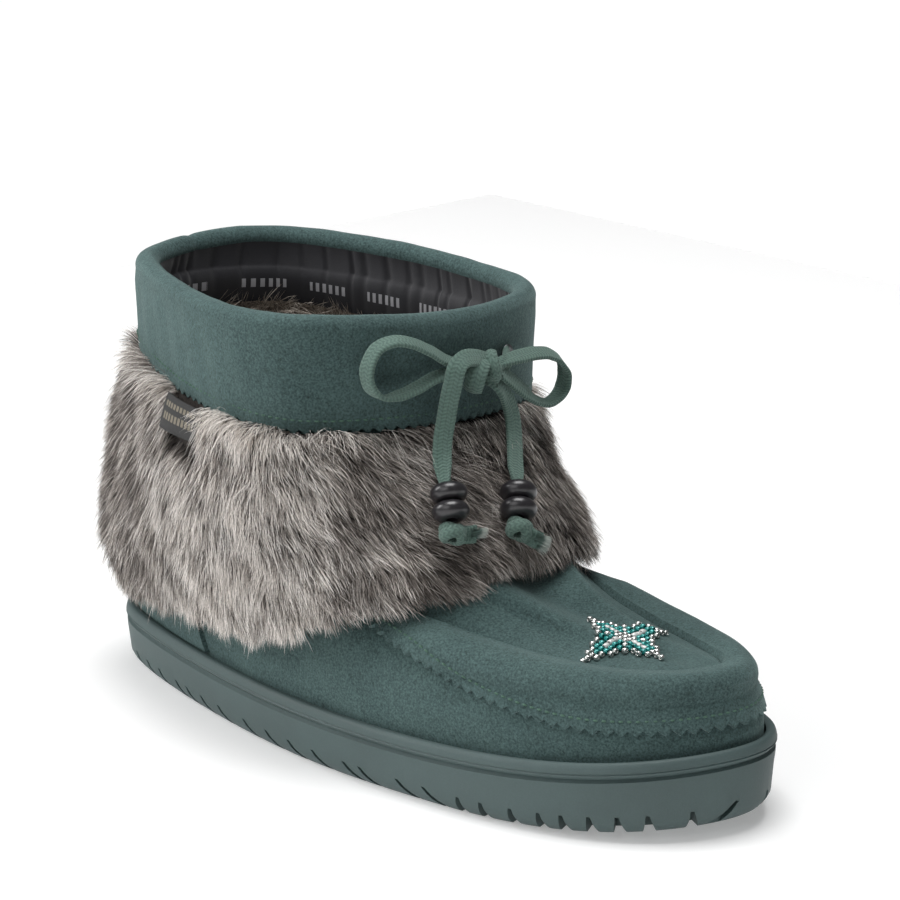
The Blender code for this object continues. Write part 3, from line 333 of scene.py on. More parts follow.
def tread_height(x: Array) -> Array:
    """Height of the tread, with its toe spring."""
    return smooth_rise(x / LENGTH + 0.5, TREAD_SPRING_START, TREAD_SPRING)


def groove_height(x: Array) -> Array:
    """Height of the groove around the sole."""
    return GROOVE_HEIGHT + smooth_rise(x / LENGTH + 0.5, TOP_SPRING_START, TOP_SPRING)


def rim_height(x: Array) -> Array:
    """Height of the sole's rounded rim."""
    return groove_height(x) + RIM_BEAD


def cup_height(x: Array) -> Array:
    """Height of the floor inside the sole's rim."""
    return rim_height(x) - CUP_DEPTH


BASES: dict[str, Callable[[Array], Array]] = {
    "tread": tread_height, "groove": groove_height, "rim": rim_height, "cup": cup_height}


class ClosedSpline:
    """Periodic cubic spline through points at the given knots."""

    def __init__(self, points: Sequence[Sequence[float]], knots: Sequence[float]) -> None:
        self.points = np.asarray(points, dtype=float)
        self.knots = np.asarray(knots, dtype=float)
        self.steps = np.diff(self.knots)
        count = len(self.points)
        matrix = np.zeros((count, count))
        target = np.zeros_like(self.points)
        for i in range(count):
            before, after = self.steps[i - 1], self.steps[i]
            matrix[i, i - 1] += before
            matrix[i, i] += 2.0 * (before + after)
            matrix[i, (i + 1) % count] += after
            rise_after = (self.points[(i + 1) % count] - self.points[i]) / after
            rise_before = (self.points[i] - self.points[i - 1]) / before
            target[i] = 6.0 * (rise_after - rise_before)
        self.bends = np.linalg.solve(matrix, target)

    def at(self, places: Array) -> Array:
        """Points at places along the knots."""
        places = np.mod(places, self.knots[-1])
        i = np.searchsorted(self.knots, places, side="right") - 1
        i = np.clip(i, 0, len(self.steps) - 1)
        j = (i + 1) % len(self.points)
        step = self.steps[i][:, None]
        a = (self.knots[i + 1] - places)[:, None] / step
        b = 1.0 - a
        bend = (a ** 3 - a) * self.bends[i] + (b ** 3 - b) * self.bends[j]
        return a * self.points[i] + b * self.points[j] + bend * step ** 2 / 6.0


def control_points(ring: dict[str, Any], inset: float = 0.0) -> list[tuple[float, float]]:
    """The fourteen control points of a ring in plan, heel back first, near side next."""
    back = ring["back"] * LENGTH + inset
    front = ring["front"] * LENGTH - inset
    toe = ring["toe"] * BALL_WIDTH
    span = front - back
    near, far = [], []
    for station, share in STATIONS:
        x = back + share * span
        near.append((x, inset - ring["near_" + station] * BALL_WIDTH))
        far.append((x, ring["far_" + station] * BALL_WIDTH - inset))
    heel_corner = back + 0.035 * span
    toe_corner = back + 0.965 * span
    near_toe = near[3][1] * 0.55 + toe * 0.45
    far_toe = far[3][1] * 0.55 + toe * 0.45
    return (
        [(back, 0.0), (heel_corner, near[0][1] * 0.66)] + near
        + [(toe_corner, near_toe), (front, toe), (toe_corner, far_toe)] + far[::-1]
        + [(heel_corner, far[0][1] * 0.66)])


def control_heights(row: dict[str, float]) -> list[float]:
    """The same fourteen points' heights."""
    side = [row["heel"], row["waist"], row["ball"], row["fore"]]
    corner = 0.5 * (row["fore"] + row["toe"])
    heel_corner = 0.5 * (row["back"] + row["heel"])
    shares = [row["back"], heel_corner] + side + [corner, row["toe"], corner] + side[::-1]
    return [share * COLLAR_HEIGHT for share in shares + [heel_corner]]


def knots_of(points: Sequence[tuple[float, float]]) -> list[float]:
    """Knots spaced by the square root of each step."""
    closed = list(points) + [points[0]]
    knots = [0.0]
    for a, b in zip(closed, closed[1:]):
        knots.append(knots[-1] + math.sqrt(math.dist(a, b)))
    return knots


KNOTS = knots_of(control_points(OUTLINE))
OUTLINE_CURVE = ClosedSpline(control_points(OUTLINE), KNOTS)


def even_places(curve: ClosedSpline, samples: int = 720) -> tuple[Array, Array]:
    """Places along the knots for even shares of the way around."""
    places = np.linspace(0.0, curve.knots[-1], samples + 1)
    points = curve.at(np.minimum(places, curve.knots[-1] - 1e-9))
    lengths = lengths_along(points)
    return lengths / lengths[-1], places


SHARE_GRID, PLACE_GRID = even_places(OUTLINE_CURVE)


def places_of(shares: Array) -> Array:
    """Places along the knots at shares of the way around the outline."""
    return np.interp(np.mod(shares, 1.0), SHARE_GRID, PLACE_GRID)


def outline_frames(shares: Array) -> tuple[Array, Array, Array]:
    """Points, forward directions and outward directions of the sole's outline."""
    points = OUTLINE_CURVE.at(places_of(shares))
    ahead = OUTLINE_CURVE.at(places_of(shares + 0.0015))
    behind = OUTLINE_CURVE.at(places_of(shares - 0.0015))
    forward = unit(ahead - behind)
    return points, forward, np.stack([forward[:, 1], -forward[:, 0]], axis=1)


class Skin:
    """A face all around the boot: closed curves, and a curve up through them."""

    def __init__(self, curves: Sequence[ClosedSpline]) -> None:
        self.curves = list(curves)
        self.top = float(len(self.curves) - 1)

    def points(self, shares: Array, rows: Array | float) -> Array:
        """Grid of points.

        Args:
            shares: shares of the way around, one for each column.
            rows: rows of the skin, one for all, for each line or for each point.

        Returns:
            Points, lines first, then columns, then x, y and z.
        """
        shares = np.asarray(shares, dtype=float)
        rows = np.atleast_1d(np.asarray(rows, dtype=float))
        rows = rows[:, None] if rows.ndim == 1 else rows
        rows = np.broadcast_to(rows, (rows.shape[0], len(shares)))
        base = np.stack([curve.at(places_of(shares)) for curve in self.curves])
        last = len(self.curves) - 1
        low = np.clip(np.floor(rows).astype(int), 0, last - 1)
        t = (rows - low)[..., None]
        columns = np.broadcast_to(np.arange(len(shares)), rows.shape)
        p0, p1, p2, p3 = (base[np.clip(low + k, 0, last), columns] for k in (-1, 0, 1, 2))
        return cubic(p0, p1, p2, p3, t)

    def around(self, shares: Array, rows: Array | float) -> Array:
        """Unit direction in which the shares grow."""
        shares = np.asarray(shares)
        return unit(self.points(shares + 0.004, rows) - self.points(shares - 0.004, rows))

    def upward(self, shares: Array, rows: Array | float) -> Array:
        """Unit direction in which the rows grow."""
        rows = np.asarray(rows, dtype=float)
        higher = np.minimum(rows + 0.06, self.top)
        lower = np.maximum(rows - 0.06, 0.0)
        return unit(self.points(shares, higher) - self.points(shares, lower))

    def normals(self, shares: Array, rows: Array | float) -> Array:
        """Outward direction of the skin."""
        return unit(np.cross(self.around(shares, rows), self.upward(shares, rows)))

    def lifted(self, shares: Array, rows: Array | float, lift: Array | float) -> Array:
        """Points above the skin by a lift along its normal."""
        lift = np.asarray(lift, dtype=float)
        lift = lift[:, None] if lift.ndim == 1 else lift
        lift = lift[..., None]
        return self.points(shares, rows) + lift * self.normals(shares, rows)


def sole_row(height: Callable[[Array], Array], lift: float) -> ClosedSpline:
    """A closed curve just inside the wall of the sole's cup."""
    plan = control_points(OUTLINE, RIM_WALL + 2.0 * GAP)
    return ClosedSpline([(x, y, float(height(np.array(x))) + lift) for x, y in plan], KNOTS)


def ring_row(ring: Sequence[Any], heights: Sequence[float]) -> ClosedSpline:
    """A closed curve through the raised control points of a ring."""
    named = dict(zip(HEIGHT_COLUMNS, heights))
    tilt = named["tilt"] * VAMP_TILT
    raised = zip(control_points(dict(zip(RING_COLUMNS, ring))), control_heights(named))
    return ClosedSpline([(x, y, z + tilt * y) for (x, y), z in raised], KNOTS)


SKIN = Skin(
    [sole_row(cup_height, GAP), sole_row(rim_height, 0.0)]
    + [ring_row(ring, heights) for ring, heights in zip(RING_ROWS, HEIGHT_ROWS)])
FUR_FACE = Skin([ring_row(ring, heights) for ring, heights in zip(FUR_ROWS, FUR_HEIGHT_ROWS)])


def ripple(shares: Array, rows: Array | float, size: float) -> Array:
    """Slow uneven waves over the leather, between about -size and size."""
    shares, rows = np.asarray(shares), np.asarray(rows)
    waves = (
        np.sin(2.0 * math.pi * (5.0 * shares + 0.31 * rows) + 0.7)
        + 0.7 * np.sin(2.0 * math.pi * (11.0 * shares - 0.42 * rows) + 2.1)
        + 0.5 * np.sin(2.0 * math.pi * (23.0 * shares + 0.77 * rows) + 4.4))
    return size * waves / 2.2


# ---- Meshes

def linked(name: str, data: Any) -> bpy.types.Object:
    """New object with its data, in the scene."""
    made = bpy.data.objects.new(name, data)
    bpy.context.scene.collection.objects.link(made)
    return made


def mesh_object(name: str, verts: Array, faces: Array, finish: bpy.types.Material,
                uv: Array | None = None, attributes: dict[str, Array] | None = None,
                sharp: float = 60.0) -> bpy.types.Object:
    """Link a smooth mesh made from arrays, and let it ride on the boot.

    Args:
        name: name of the piece.
        verts: points, in metres.
        faces: corners of each face, all triangles or all quads.
        finish: material.
        uv: a pair for each point.
        attributes: further values by name, one for each point.
        sharp: angle in degrees past which an edge stays sharp.

    Returns:
        The new object.
    """
    mesh = bpy.data.meshes.new(name)
    corners = faces.shape[1]
    mesh.vertices.add(len(verts))
    mesh.vertices.foreach_set("co", np.ascontiguousarray(verts, dtype=np.float32).ravel())
    mesh.loops.add(faces.size)
    mesh.loops.foreach_set("vertex_index", np.ascontiguousarray(faces, dtype=np.int32).ravel())
    mesh.polygons.add(len(faces))
    mesh.polygons.foreach_set("loop_start", np.arange(0, faces.size, corners, dtype=np.int32))
    mesh.update(calc_edges=True)
    if uv is not None:
        layer = mesh.uv_layers.new(name="UVMap")
        layer.data.foreach_set("uv", np.asarray(uv, dtype=np.float32)[faces.ravel()].ravel())
    for key, values in (attributes or {}).items():
        held = mesh.attributes.new(key, "FLOAT", "POINT")
        held.data.foreach_set("value", np.asarray(values, dtype=np.float32).ravel())
    mesh.materials.append(finish)
    mesh.shade_smooth()
    if sharp < 180.0:
        mesh.set_sharp_from_angle(angle=math.radians(sharp))
    made = linked(name, mesh)
    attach(made, BODY)
    return made


def grid_faces(lines: int, columns: int, closed: bool = False) -> Array:
    """Quads of a grid of points, whose lines grow upwards and columns to the right."""
    index = np.arange(lines * columns).reshape(lines, columns)
    right = np.roll(index, -1, axis=1)
    last = columns if closed else columns - 1
    return np.stack([
        index[:-1, :last], right[:-1, :last], right[1:, :last], index[1:, :last]],
        axis=-1).reshape(-1, 4)


def grid_object(name: str, grid: Array, finish: bpy.types.Material, closed: bool = False,
                uv: Array | None = None, sharp: float = 60.0) -> bpy.types.Object:
    """A sheet through a grid of points."""
    lines, columns = grid.shape[:2]
    pairs = None if uv is None else uv.reshape(-1, 2)
    return mesh_object(
        name, grid.reshape(-1, 3), grid_faces(lines, columns, closed), finish, pairs, sharp=sharp)


def uv_grid(along: Array, across: Array) -> Array:
    """UV pairs from two sets of values that stretch to one shape."""
    return np.stack(np.broadcast_arrays(along, across), axis=-1)


def joined(parts: Sequence[tuple[Array, Array]]) -> tuple[Array, Array]:
    """Several meshes' points and faces as one."""
    verts, faces, start = [], [], 0
    for points, corners in parts:
        verts.append(points)
        faces.append(corners + start)
        start += len(points)
    return np.concatenate(verts), np.concatenate(faces)


def smooth_route(points: Sequence[Sequence[float]], count: int) -> Array:
    """Even points on a smooth curve through the route's own points."""
    held = [np.array(point, dtype=float) for point in points]
    ends = [2.0 * held[0] - held[1]] + held + [2.0 * held[-1] - held[-2]]
    fine = []
    for k in range(1, len(ends) - 2):
        for t in np.linspace(0.0, 1.0, 24, endpoint=False):
            fine.append(cubic(*ends[k - 1:k + 3], t))
    fine.append(held[-1])
    return evenly(np.array(fine), count)


def evenly(line: Array, count: int) -> Array:
    """The same line at evenly spaced points."""
    lengths = lengths_along(line)
    even = np.linspace(0.0, lengths[-1], count)
    return np.stack([np.interp(even, lengths, line[:, axis]) for axis in range(3)], axis=1)


def line_length(line: Array) -> float:
    """Length of a line of points."""
    return float(np.linalg.norm(np.diff(line, axis=0), axis=1).sum())


def lathe(profile: Sequence[tuple[float, float]], sides: int) -> tuple[Array, Array]:
    """A closed section turned about Z: pairs of radius and height."""
    turns = 2.0 * math.pi * np.arange(sides) / sides
    section = np.array(list(profile) + [profile[0]])
    grid = np.stack([
        section[:, :1] * np.cos(turns), section[:, :1] * np.sin(turns),
        np.repeat(section[:, 1:], sides, axis=1)], axis=-1)
    return grid.reshape(-1, 3), grid_faces(len(section), sides, closed=True)


def frame_along(axis: Sequence[float]) -> Array:
    """Rotation that turns Z onto an axis, as rows of the new x, y and z."""
    z = Vector(axis).normalized()
    x = z.orthogonal().normalized()
    return np.array([x, z.cross(x), z])


def stitches(name: str, line: Array, normals: Array, finish: bpy.types.Material,
             pitch: float = 0.0027, length: float = 0.0019,
             radius: float = 0.00034) -> bpy.types.Object:
    """A row of separate stitches lying along a line."""
    count = max(int(line_length(line) / pitch), 2)
    lengths = lengths_along(line)
    spots = (np.arange(count) + 0.5) * lengths[-1] / count

    def at(values: Array, where: Array) -> Array:
        return np.stack([np.interp(where, lengths, values[:, axis]) for axis in range(3)], axis=1)

    centres = at(line, spots)
    forward = unit(at(line, spots + 0.3 * pitch) - at(line, spots - 0.3 * pitch))
    up = unit(at(normals, spots))
    across = unit(np.cross(forward, up))
    rings, sides = 5, 6
    along = np.linspace(-0.5, 0.5, rings)
    fat = np.sqrt(np.clip(1.0 - (2.0 * along) ** 4, 0.04, None))
    dip = -radius * 1.3 * (2.0 * np.abs(along)) ** 2
    turns = 2.0 * math.pi * np.arange(sides) / sides
    body = (
        centres[:, None, None] + (along * length)[None, :, None, None] * forward[:, None, None]
        + (fat[:, None] * np.cos(turns) * radius)[None, ..., None] * across[:, None, None]
        + (fat[:, None] * np.sin(turns) * radius + dip[:, None])[None, ..., None]
        * up[:, None, None])
    faces = grid_faces(rings, sides, closed=True)
    verts = body.reshape(-1, 3)
    starts = np.arange(count) * rings * sides
    every = (faces[None] + starts[:, None, None]).reshape(-1, 4)
    return mesh_object(name, verts, every, finish, sharp=180.0)


# ---- Materials

class Value:
    """A shader value or colour that can be added, multiplied and mixed."""

    def __init__(self, graph: Graph, socket: Any) -> None:
        self.graph = graph
        self.socket = socket

    def maths(self, operation: str, *others: Any) -> Value:
        """Result of one maths node on this value and others."""
        return self.graph.node("ShaderNodeMath", (self, *others), operation=operation)

    def __add__(self, other: Any) -> Value:
        return self.maths("ADD", other)

    __radd__ = __add__

    def __sub__(self, other: Any) -> Value:
        return self.maths("SUBTRACT", other)

    def __rsub__(self, other: Any) -> Value:
        return self.graph.node("ShaderNodeMath", (other, self), operation="SUBTRACT")

    def __mul__(self, other: Any) -> Value:
        return self.maths("MULTIPLY", other)

    def __gt__(self, other: Any) -> Value:
        return self.maths("GREATER_THAN", other)

    def __lt__(self, other: Any) -> Value:
        return self.maths("LESS_THAN", other)

    def __abs__(self) -> Value:
        return self.maths("ABSOLUTE")

    def wave(self) -> Value:
        """Sine wave from 0 to 1, with one turn in each unit."""
        return (self * (2.0 * math.pi)).maths("SINE") * 0.5 + 0.5

    def smooth(self, low: float, high: float) -> Value:
        """Smooth rise from 0 at low to 1 at high."""
        return self.graph.node(
            "ShaderNodeMapRange", (self, low, high, 0.0, 1.0), interpolation_type="SMOOTHSTEP")


class Graph:
    """Node tree of one material, whose nodes are made by calls."""

    def __init__(self, name: str) -> None:
        self.material = bpy.data.materials.new(name)
        self.material.use_nodes = True
        self.tree = self.material.node_tree
        self.shader = self.tree.nodes["Principled BSDF"]

    def put(self, socket: Any, value: Any) -> None:
        """Link a value to a socket, or set it there."""
        if isinstance(value, Value):
            self.tree.links.new(value.socket, socket)
        elif isinstance(value, (tuple, list)) and len(value) == 3 and len(
                socket.default_value) == 4:
            socket.default_value = (*value, 1.0)
        else:
            socket.default_value = value

    def node(self, kind: str, inputs: Any = (), output: int = 0, **settings: Any) -> Value:
        """Make any node, with its inputs in order or by name."""
        made = self.tree.nodes.new(kind)
        for key, setting in settings.items():
            setattr(made, key, setting)
        pairs = inputs.items() if isinstance(inputs, dict) else enumerate(inputs)
        for key, value in pairs:
            self.put(made.inputs[key], value)
        return Value(self, made.outputs[output])

    def tone(self, stops: Sequence[tuple[float, Sequence[float]]]) -> Value:
        """Colour along a ramp of stops, by the tone that the mesh holds for each point."""
        held = self.node("ShaderNodeAttribute", output=2, attribute_name="tone")
        made = self.node("ShaderNodeValToRGB", (held,))
        elements = made.socket.node.color_ramp.elements
        while len(elements) < len(stops):
            elements.new(0.5)
        for element, (spot, colour) in zip(elements, stops):
            element.position = spot
            element.color = (*colour, 1.0)
        return made

    def uv(self) -> tuple[Value, Value]:
        """The two UV values."""
        made = self.node("ShaderNodeTexCoord", output=2)
        split = self.node("ShaderNodeSeparateXYZ", (made,))
        return split, Value(self, split.socket.node.outputs[1])

    def noise(self, scale: float, detail: float, rough: float) -> Value:
        """Noise between 0 and 1, so many cells to a metre."""
        place = self.node("ShaderNodeTexCoord", output=3)
        return self.node("ShaderNodeTexNoise", {
            "Vector": place, "Scale": scale, "Detail": detail, "Roughness": rough})

    def mix(self, share: Any, first: Any, second: Any, blend: str = "MIX") -> Value:
        """Colour between two others."""
        made = self.node("ShaderNodeMix", output=2, data_type="RGBA", blend_type=blend)
        node = made.socket.node
        self.put(node.inputs[0], share)
        self.put(node.inputs[6], first)
        self.put(node.inputs[7], second)
        return made

    def shade(self, colour: Any, factor: Value) -> Value:
        """Colour times a factor."""
        grey = self.node("ShaderNodeCombineColor", (factor, factor, factor))
        return self.mix(1.0, colour, grey, "MULTIPLY")

    def bump(self, height: Value, distance: float, strength: float) -> Value:
        """Normal turned by a height, whose full range is a distance in metres."""
        return self.node("ShaderNodeBump", {
            "Height": height, "Distance": distance, "Strength": strength})

    def finish(self, colour: Any, rough: Any, normal: Value | None = None,
               **constants: Any) -> bpy.types.Material:
        """Join the values to the surface, with constants by input name."""
        self.put(self.shader.inputs["Base Color"], colour)
        self.put(self.shader.inputs["Roughness"], rough)
        if normal is not None:
            self.put(self.shader.inputs["Normal"], normal)
        for key, value in constants.items():
            self.put(self.shader.inputs[key.replace("_", " ")], value)
        return self.material


@dataclass(frozen=True)
class Finishes:
    """The boot's materials."""

    suede: bpy.types.Material
    rubber: bpy.types.Material
    fur: bpy.types.Material
    undercoat: bpy.types.Material
    pile: bpy.types.Material
    footbed: bpy.types.Material
    satin: bpy.types.Material
    lace: bpy.types.Material
    fray: bpy.types.Material
    thread: bpy.types.Material
    bead: bpy.types.Material
    metal: bpy.types.Material
    label: bpy.types.Material
    pearl: bpy.types.Material
    teal: bpy.types.Material
    silver: bpy.types.Material


def suede_finish() -> bpy.types.Material:
    """Napped dark green leather, brushed lighter in patches."""
    g = Graph("suede")
    grain = g.noise(1350.0, 3.0, 0.65)
    nap = g.noise(420.0, 3.0, 0.6)
    patch = g.noise(38.0, 3.0, 0.55)
    factor = (grain * 2.5 + nap * 0.50 + patch * 0.40 - 0.70).maths("MAXIMUM", 0.12)
    colour = g.shade(g.mix(patch, (0.047, 0.082, 0.082), (0.066, 0.107, 0.103)), factor)
    height = grain * 0.8 + nap * 0.5
    return g.finish(
        colour, 0.95, g.bump(height, 0.00045, 0.75), Specular_IOR_Level=0.18, Sheen_Weight=0.30,
        Sheen_Roughness=0.5, Sheen_Tint=(0.55, 0.72, 0.70))


def rubber_finish() -> bpy.types.Material:
    """Matte moulded rubber with a fine tooth and faint dust."""
    g = Graph("rubber")
    fine = g.noise(1900.0, 2.0, 0.6)
    cloud = g.noise(60.0, 3.0, 0.6)
    factor = 0.70 + fine * 0.26 + cloud * 0.34
    colour = g.shade((0.066, 0.099, 0.098), factor)
    return g.finish(
        colour, 0.52 + cloud * 0.14, g.bump(fine, 0.00010, 0.5), Specular_IOR_Level=0.42)


def fur_finish() -> bpy.types.Material:
    """Long hair from a dark root to a pale tip, in uneven patches."""
    g = Graph("fur")
    warm = g.noise(55.0, 2.0, 0.5)
    base = g.tone((
        (0.0, (0.020, 0.017, 0.016)), (0.25, (0.070, 0.060, 0.054)),
        (0.50, (0.275, 0.251, 0.233)), (0.75, (0.590, 0.560, 0.532)),
        (1.0, (0.920, 0.905, 0.885))))
    tint = g.mix(warm, (1.0, 0.985, 0.975), (1.0, 0.95, 0.90))
    return g.finish(
        g.mix(1.0, base, tint, "MULTIPLY"), 0.62, Specular_IOR_Level=0.25, Sheen_Weight=0.10)


def hair_finish(name: str, stops: Sequence[tuple[float, Sequence[float]]], rough: float,
                **constants: Any) -> bpy.types.Material:
    """Fine hair or cut threads, coloured from root to tip."""
    g = Graph(name)
    return g.finish(g.tone(stops), rough, **constants)


def felt_finish(name: str, noise: tuple[float, float, float], dark: Sequence[float],
                light: Sequence[float], rough: float,
                relief: tuple[float, float]) -> bpy.types.Material:
    """Woolly ground beneath the hair, in soft clumps."""
    g = Graph(name)
    clump = g.noise(*noise)
    return g.finish(
        g.mix(clump, dark, light), rough, g.bump(clump, *relief), Specular_IOR_Level=0.1)


def satin_finish() -> bpy.types.Material:
    """Black satin band, with groups of small pale woven bars."""
    g = Graph("satin")
    along, across = g.uv()
    group = (along * 15.0).maths("FRACT")
    bar = ((along * 15.0 * 9.0).maths("FRACT") < 0.52) * (group < 0.60)
    mark = bar * (abs(across - 0.50) < 0.105)
    weave = g.noise(1500.0, 2.0, 0.5)
    colour = g.mix(mark * 0.75, (0.013, 0.013, 0.017), (0.50, 0.50, 0.53))
    return g.finish(
        colour, 0.56 + weave * 0.16, g.bump(weave, 0.00012, 0.5), Specular_IOR_Level=0.4,
        Sheen_Weight=0.30)


def braid(g: Graph) -> tuple[Value, Value]:
    """Herringbone of a flat braid: its height, and painted shade that darkens its low parts, from
    the UV map.
    """
    along, across = g.uv()
    zigzag = abs((across + 1.02).maths("FRACT") - 0.5) * 2.0
    strand = (along * 800.0 + zigzag * 0.62).wave()
    thread = (along * 2600.0 - zigzag * 2.0).wave()
    groove = zigzag.smooth(0.0, 0.16) * (1.0 - zigzag).smooth(0.0, 0.16)
    height = strand * 0.62 + thread * 0.12 + groove * 0.26
    # The second value is painted shade: darker where the strands, threads and grooves sit low.
    return height, 0.62 + strand * 0.26 + thread * 0.10 + groove * 0.18


def lace_finish() -> bpy.types.Material:
    """Flat braided cotton lace."""
    g = Graph("lace")
    height, shading = braid(g)
    fleck = g.noise(1800.0, 2.0, 0.6)
    # The braid's painted shade in its hollows, with random flecks of the cotton's own colour.
    colour = g.shade((0.118, 0.186, 0.158), shading * (0.66 + fleck * 0.60))
    return g.finish(
        colour, 0.92, g.bump(height, 0.00034, 0.9), Specular_IOR_Level=0.2, Sheen_Weight=0.25,
        Sheen_Tint=(0.7, 0.85, 0.8))


def thread_finish() -> bpy.types.Material:
    """Sewing thread, a shade off the leather."""
    g = Graph("thread")
    twist = g.noise(4200.0, 1.0, 0.5)
    colour = g.shade((0.075, 0.150, 0.110), 0.6 + twist * 0.7)
    return g.finish(colour, 0.7, g.bump(twist, 0.0001, 0.6), Specular_IOR_Level=0.35)


def bead_finish() -> bpy.types.Material:
    """Satin black bead."""
    g = Graph("bead black")
    fine = g.noise(900.0, 2.0, 0.5)
    colour = g.mix(fine, (0.010, 0.009, 0.011), (0.026, 0.024, 0.027))
    return g.finish(
        colour, 0.26 + fine * 0.12, g.bump(fine, 0.00006, 0.4), Specular_IOR_Level=0.6,
        Coat_Weight=0.25, Coat_Roughness=0.22)


def metal_finish() -> bpy.types.Material:
    """Dark plated steel."""
    g = Graph("gunmetal")
    wear = g.noise(700.0, 3.0, 0.6)
    colour = g.mix(wear, (0.105, 0.110, 0.115), (0.240, 0.250, 0.255))
    return g.finish(colour, 0.28 + wear * 0.16, Metallic=1.0)


def label_finish() -> bpy.types.Material:
    """Woven tab with rows of plain pale bars instead of words."""
    g = Graph("label")
    along, across = g.uv()
    weave = g.noise(2600.0, 2.0, 0.6)
    cells = (along * 11.0).maths("FRACT")
    bars = (cells < 0.66) * (along > 0.06) * (along < 0.94)
    rows = (abs(across - 0.66) < 0.09).maths("MAXIMUM", abs(across - 0.32) < 0.09)
    colour = g.mix(bars * rows * 0.55, (0.040, 0.040, 0.040), (0.330, 0.290, 0.215))
    return g.finish(g.shade(colour, 0.7 + weave * 0.6), 0.9, g.bump(weave, 0.0002, 0.7))


def glass_finish(name: str, dark: Sequence[float], light: Sequence[float], metallic: float,
                 rough: float) -> bpy.types.Material:
    """Small glass bead, a little different from one to the next."""
    g = Graph(name)
    vary = g.noise(420.0, 1.0, 0.5)
    colour = g.mix(vary, dark, light)
    return g.finish(
        colour, rough, Metallic=metallic, Specular_IOR_Level=0.6, Coat_Weight=0.5,
        Coat_Roughness=0.08)


def make_finishes() -> Finishes:
    """Every material of the boot."""
    return Finishes(
        suede=suede_finish(), rubber=rubber_finish(), fur=fur_finish(),
        undercoat=felt_finish("undercoat", (420.0, 3.0, 0.65), (0.018, 0.016, 0.015),
                              (0.105, 0.094, 0.086), 0.95, (0.0018, 0.9)),
        footbed=felt_finish("footbed", (380.0, 3.0, 0.7), (0.050, 0.041, 0.033),
                            (0.200, 0.172, 0.142), 0.97, (0.0022, 1.0)),
        pile=hair_finish(
            "pile", ((0.0, (0.070, 0.058, 0.046)), (0.5, (0.290, 0.250, 0.210)),
                     (1.0, (0.620, 0.560, 0.490))), 0.8, Specular_IOR_Level=0.15, Sheen_Weight=0.2),
        fray=hair_finish(
            "fray", ((0.0, (0.080, 0.125, 0.108)), (0.6, (0.150, 0.215, 0.190)),
                     (1.0, (0.62, 0.66, 0.62))), 0.85, Specular_IOR_Level=0.2),
        satin=satin_finish(), lace=lace_finish(), thread=thread_finish(),
        bead=bead_finish(), metal=metal_finish(), label=label_finish(),
        pearl=glass_finish("pearl bead", (0.62, 0.62, 0.60), (0.80, 0.80, 0.79), 0.0, 0.16),
        teal=glass_finish("teal bead", (0.004, 0.130, 0.130), (0.020, 0.400, 0.370), 0.25, 0.16),
        silver=glass_finish("silver bead", (0.50, 0.51, 0.50), (0.86, 0.87, 0.85), 0.85, 0.14))


@dataclass
class Maker:
    """Builder of some of the boot's pieces, in the boot's materials."""

    finishes: Finishes


# ---- Hair

@dataclass(frozen=True)
class Coat:
    """One kind of hair: how many, how long, how it lies and how it is coloured."""

    name: str
    count: int
    length: tuple[float, float]
    width: float
    joints: int
    rise: tuple[float, float]
    tones: tuple[float, float]
    seed: int
    sunk: float = 0.0004
    clumps: int = 0
    clumping: float = 0.0
    spread: float = 0.12
    clump_spread: float = 0.0
    droop: float = 0.3
    dark: float = 0.0


@dataclass(frozen=True)
class Roots:
    """Where hairs start: points, outward directions, ways to lie, tones and room.

    The tip's tone starts nearer to the root by the share of the length in early.
    """

    points: Array
    normals: Array
    flow: Array
    tone: Array
    room: Array | None = None
    early: Array | float = 0.0


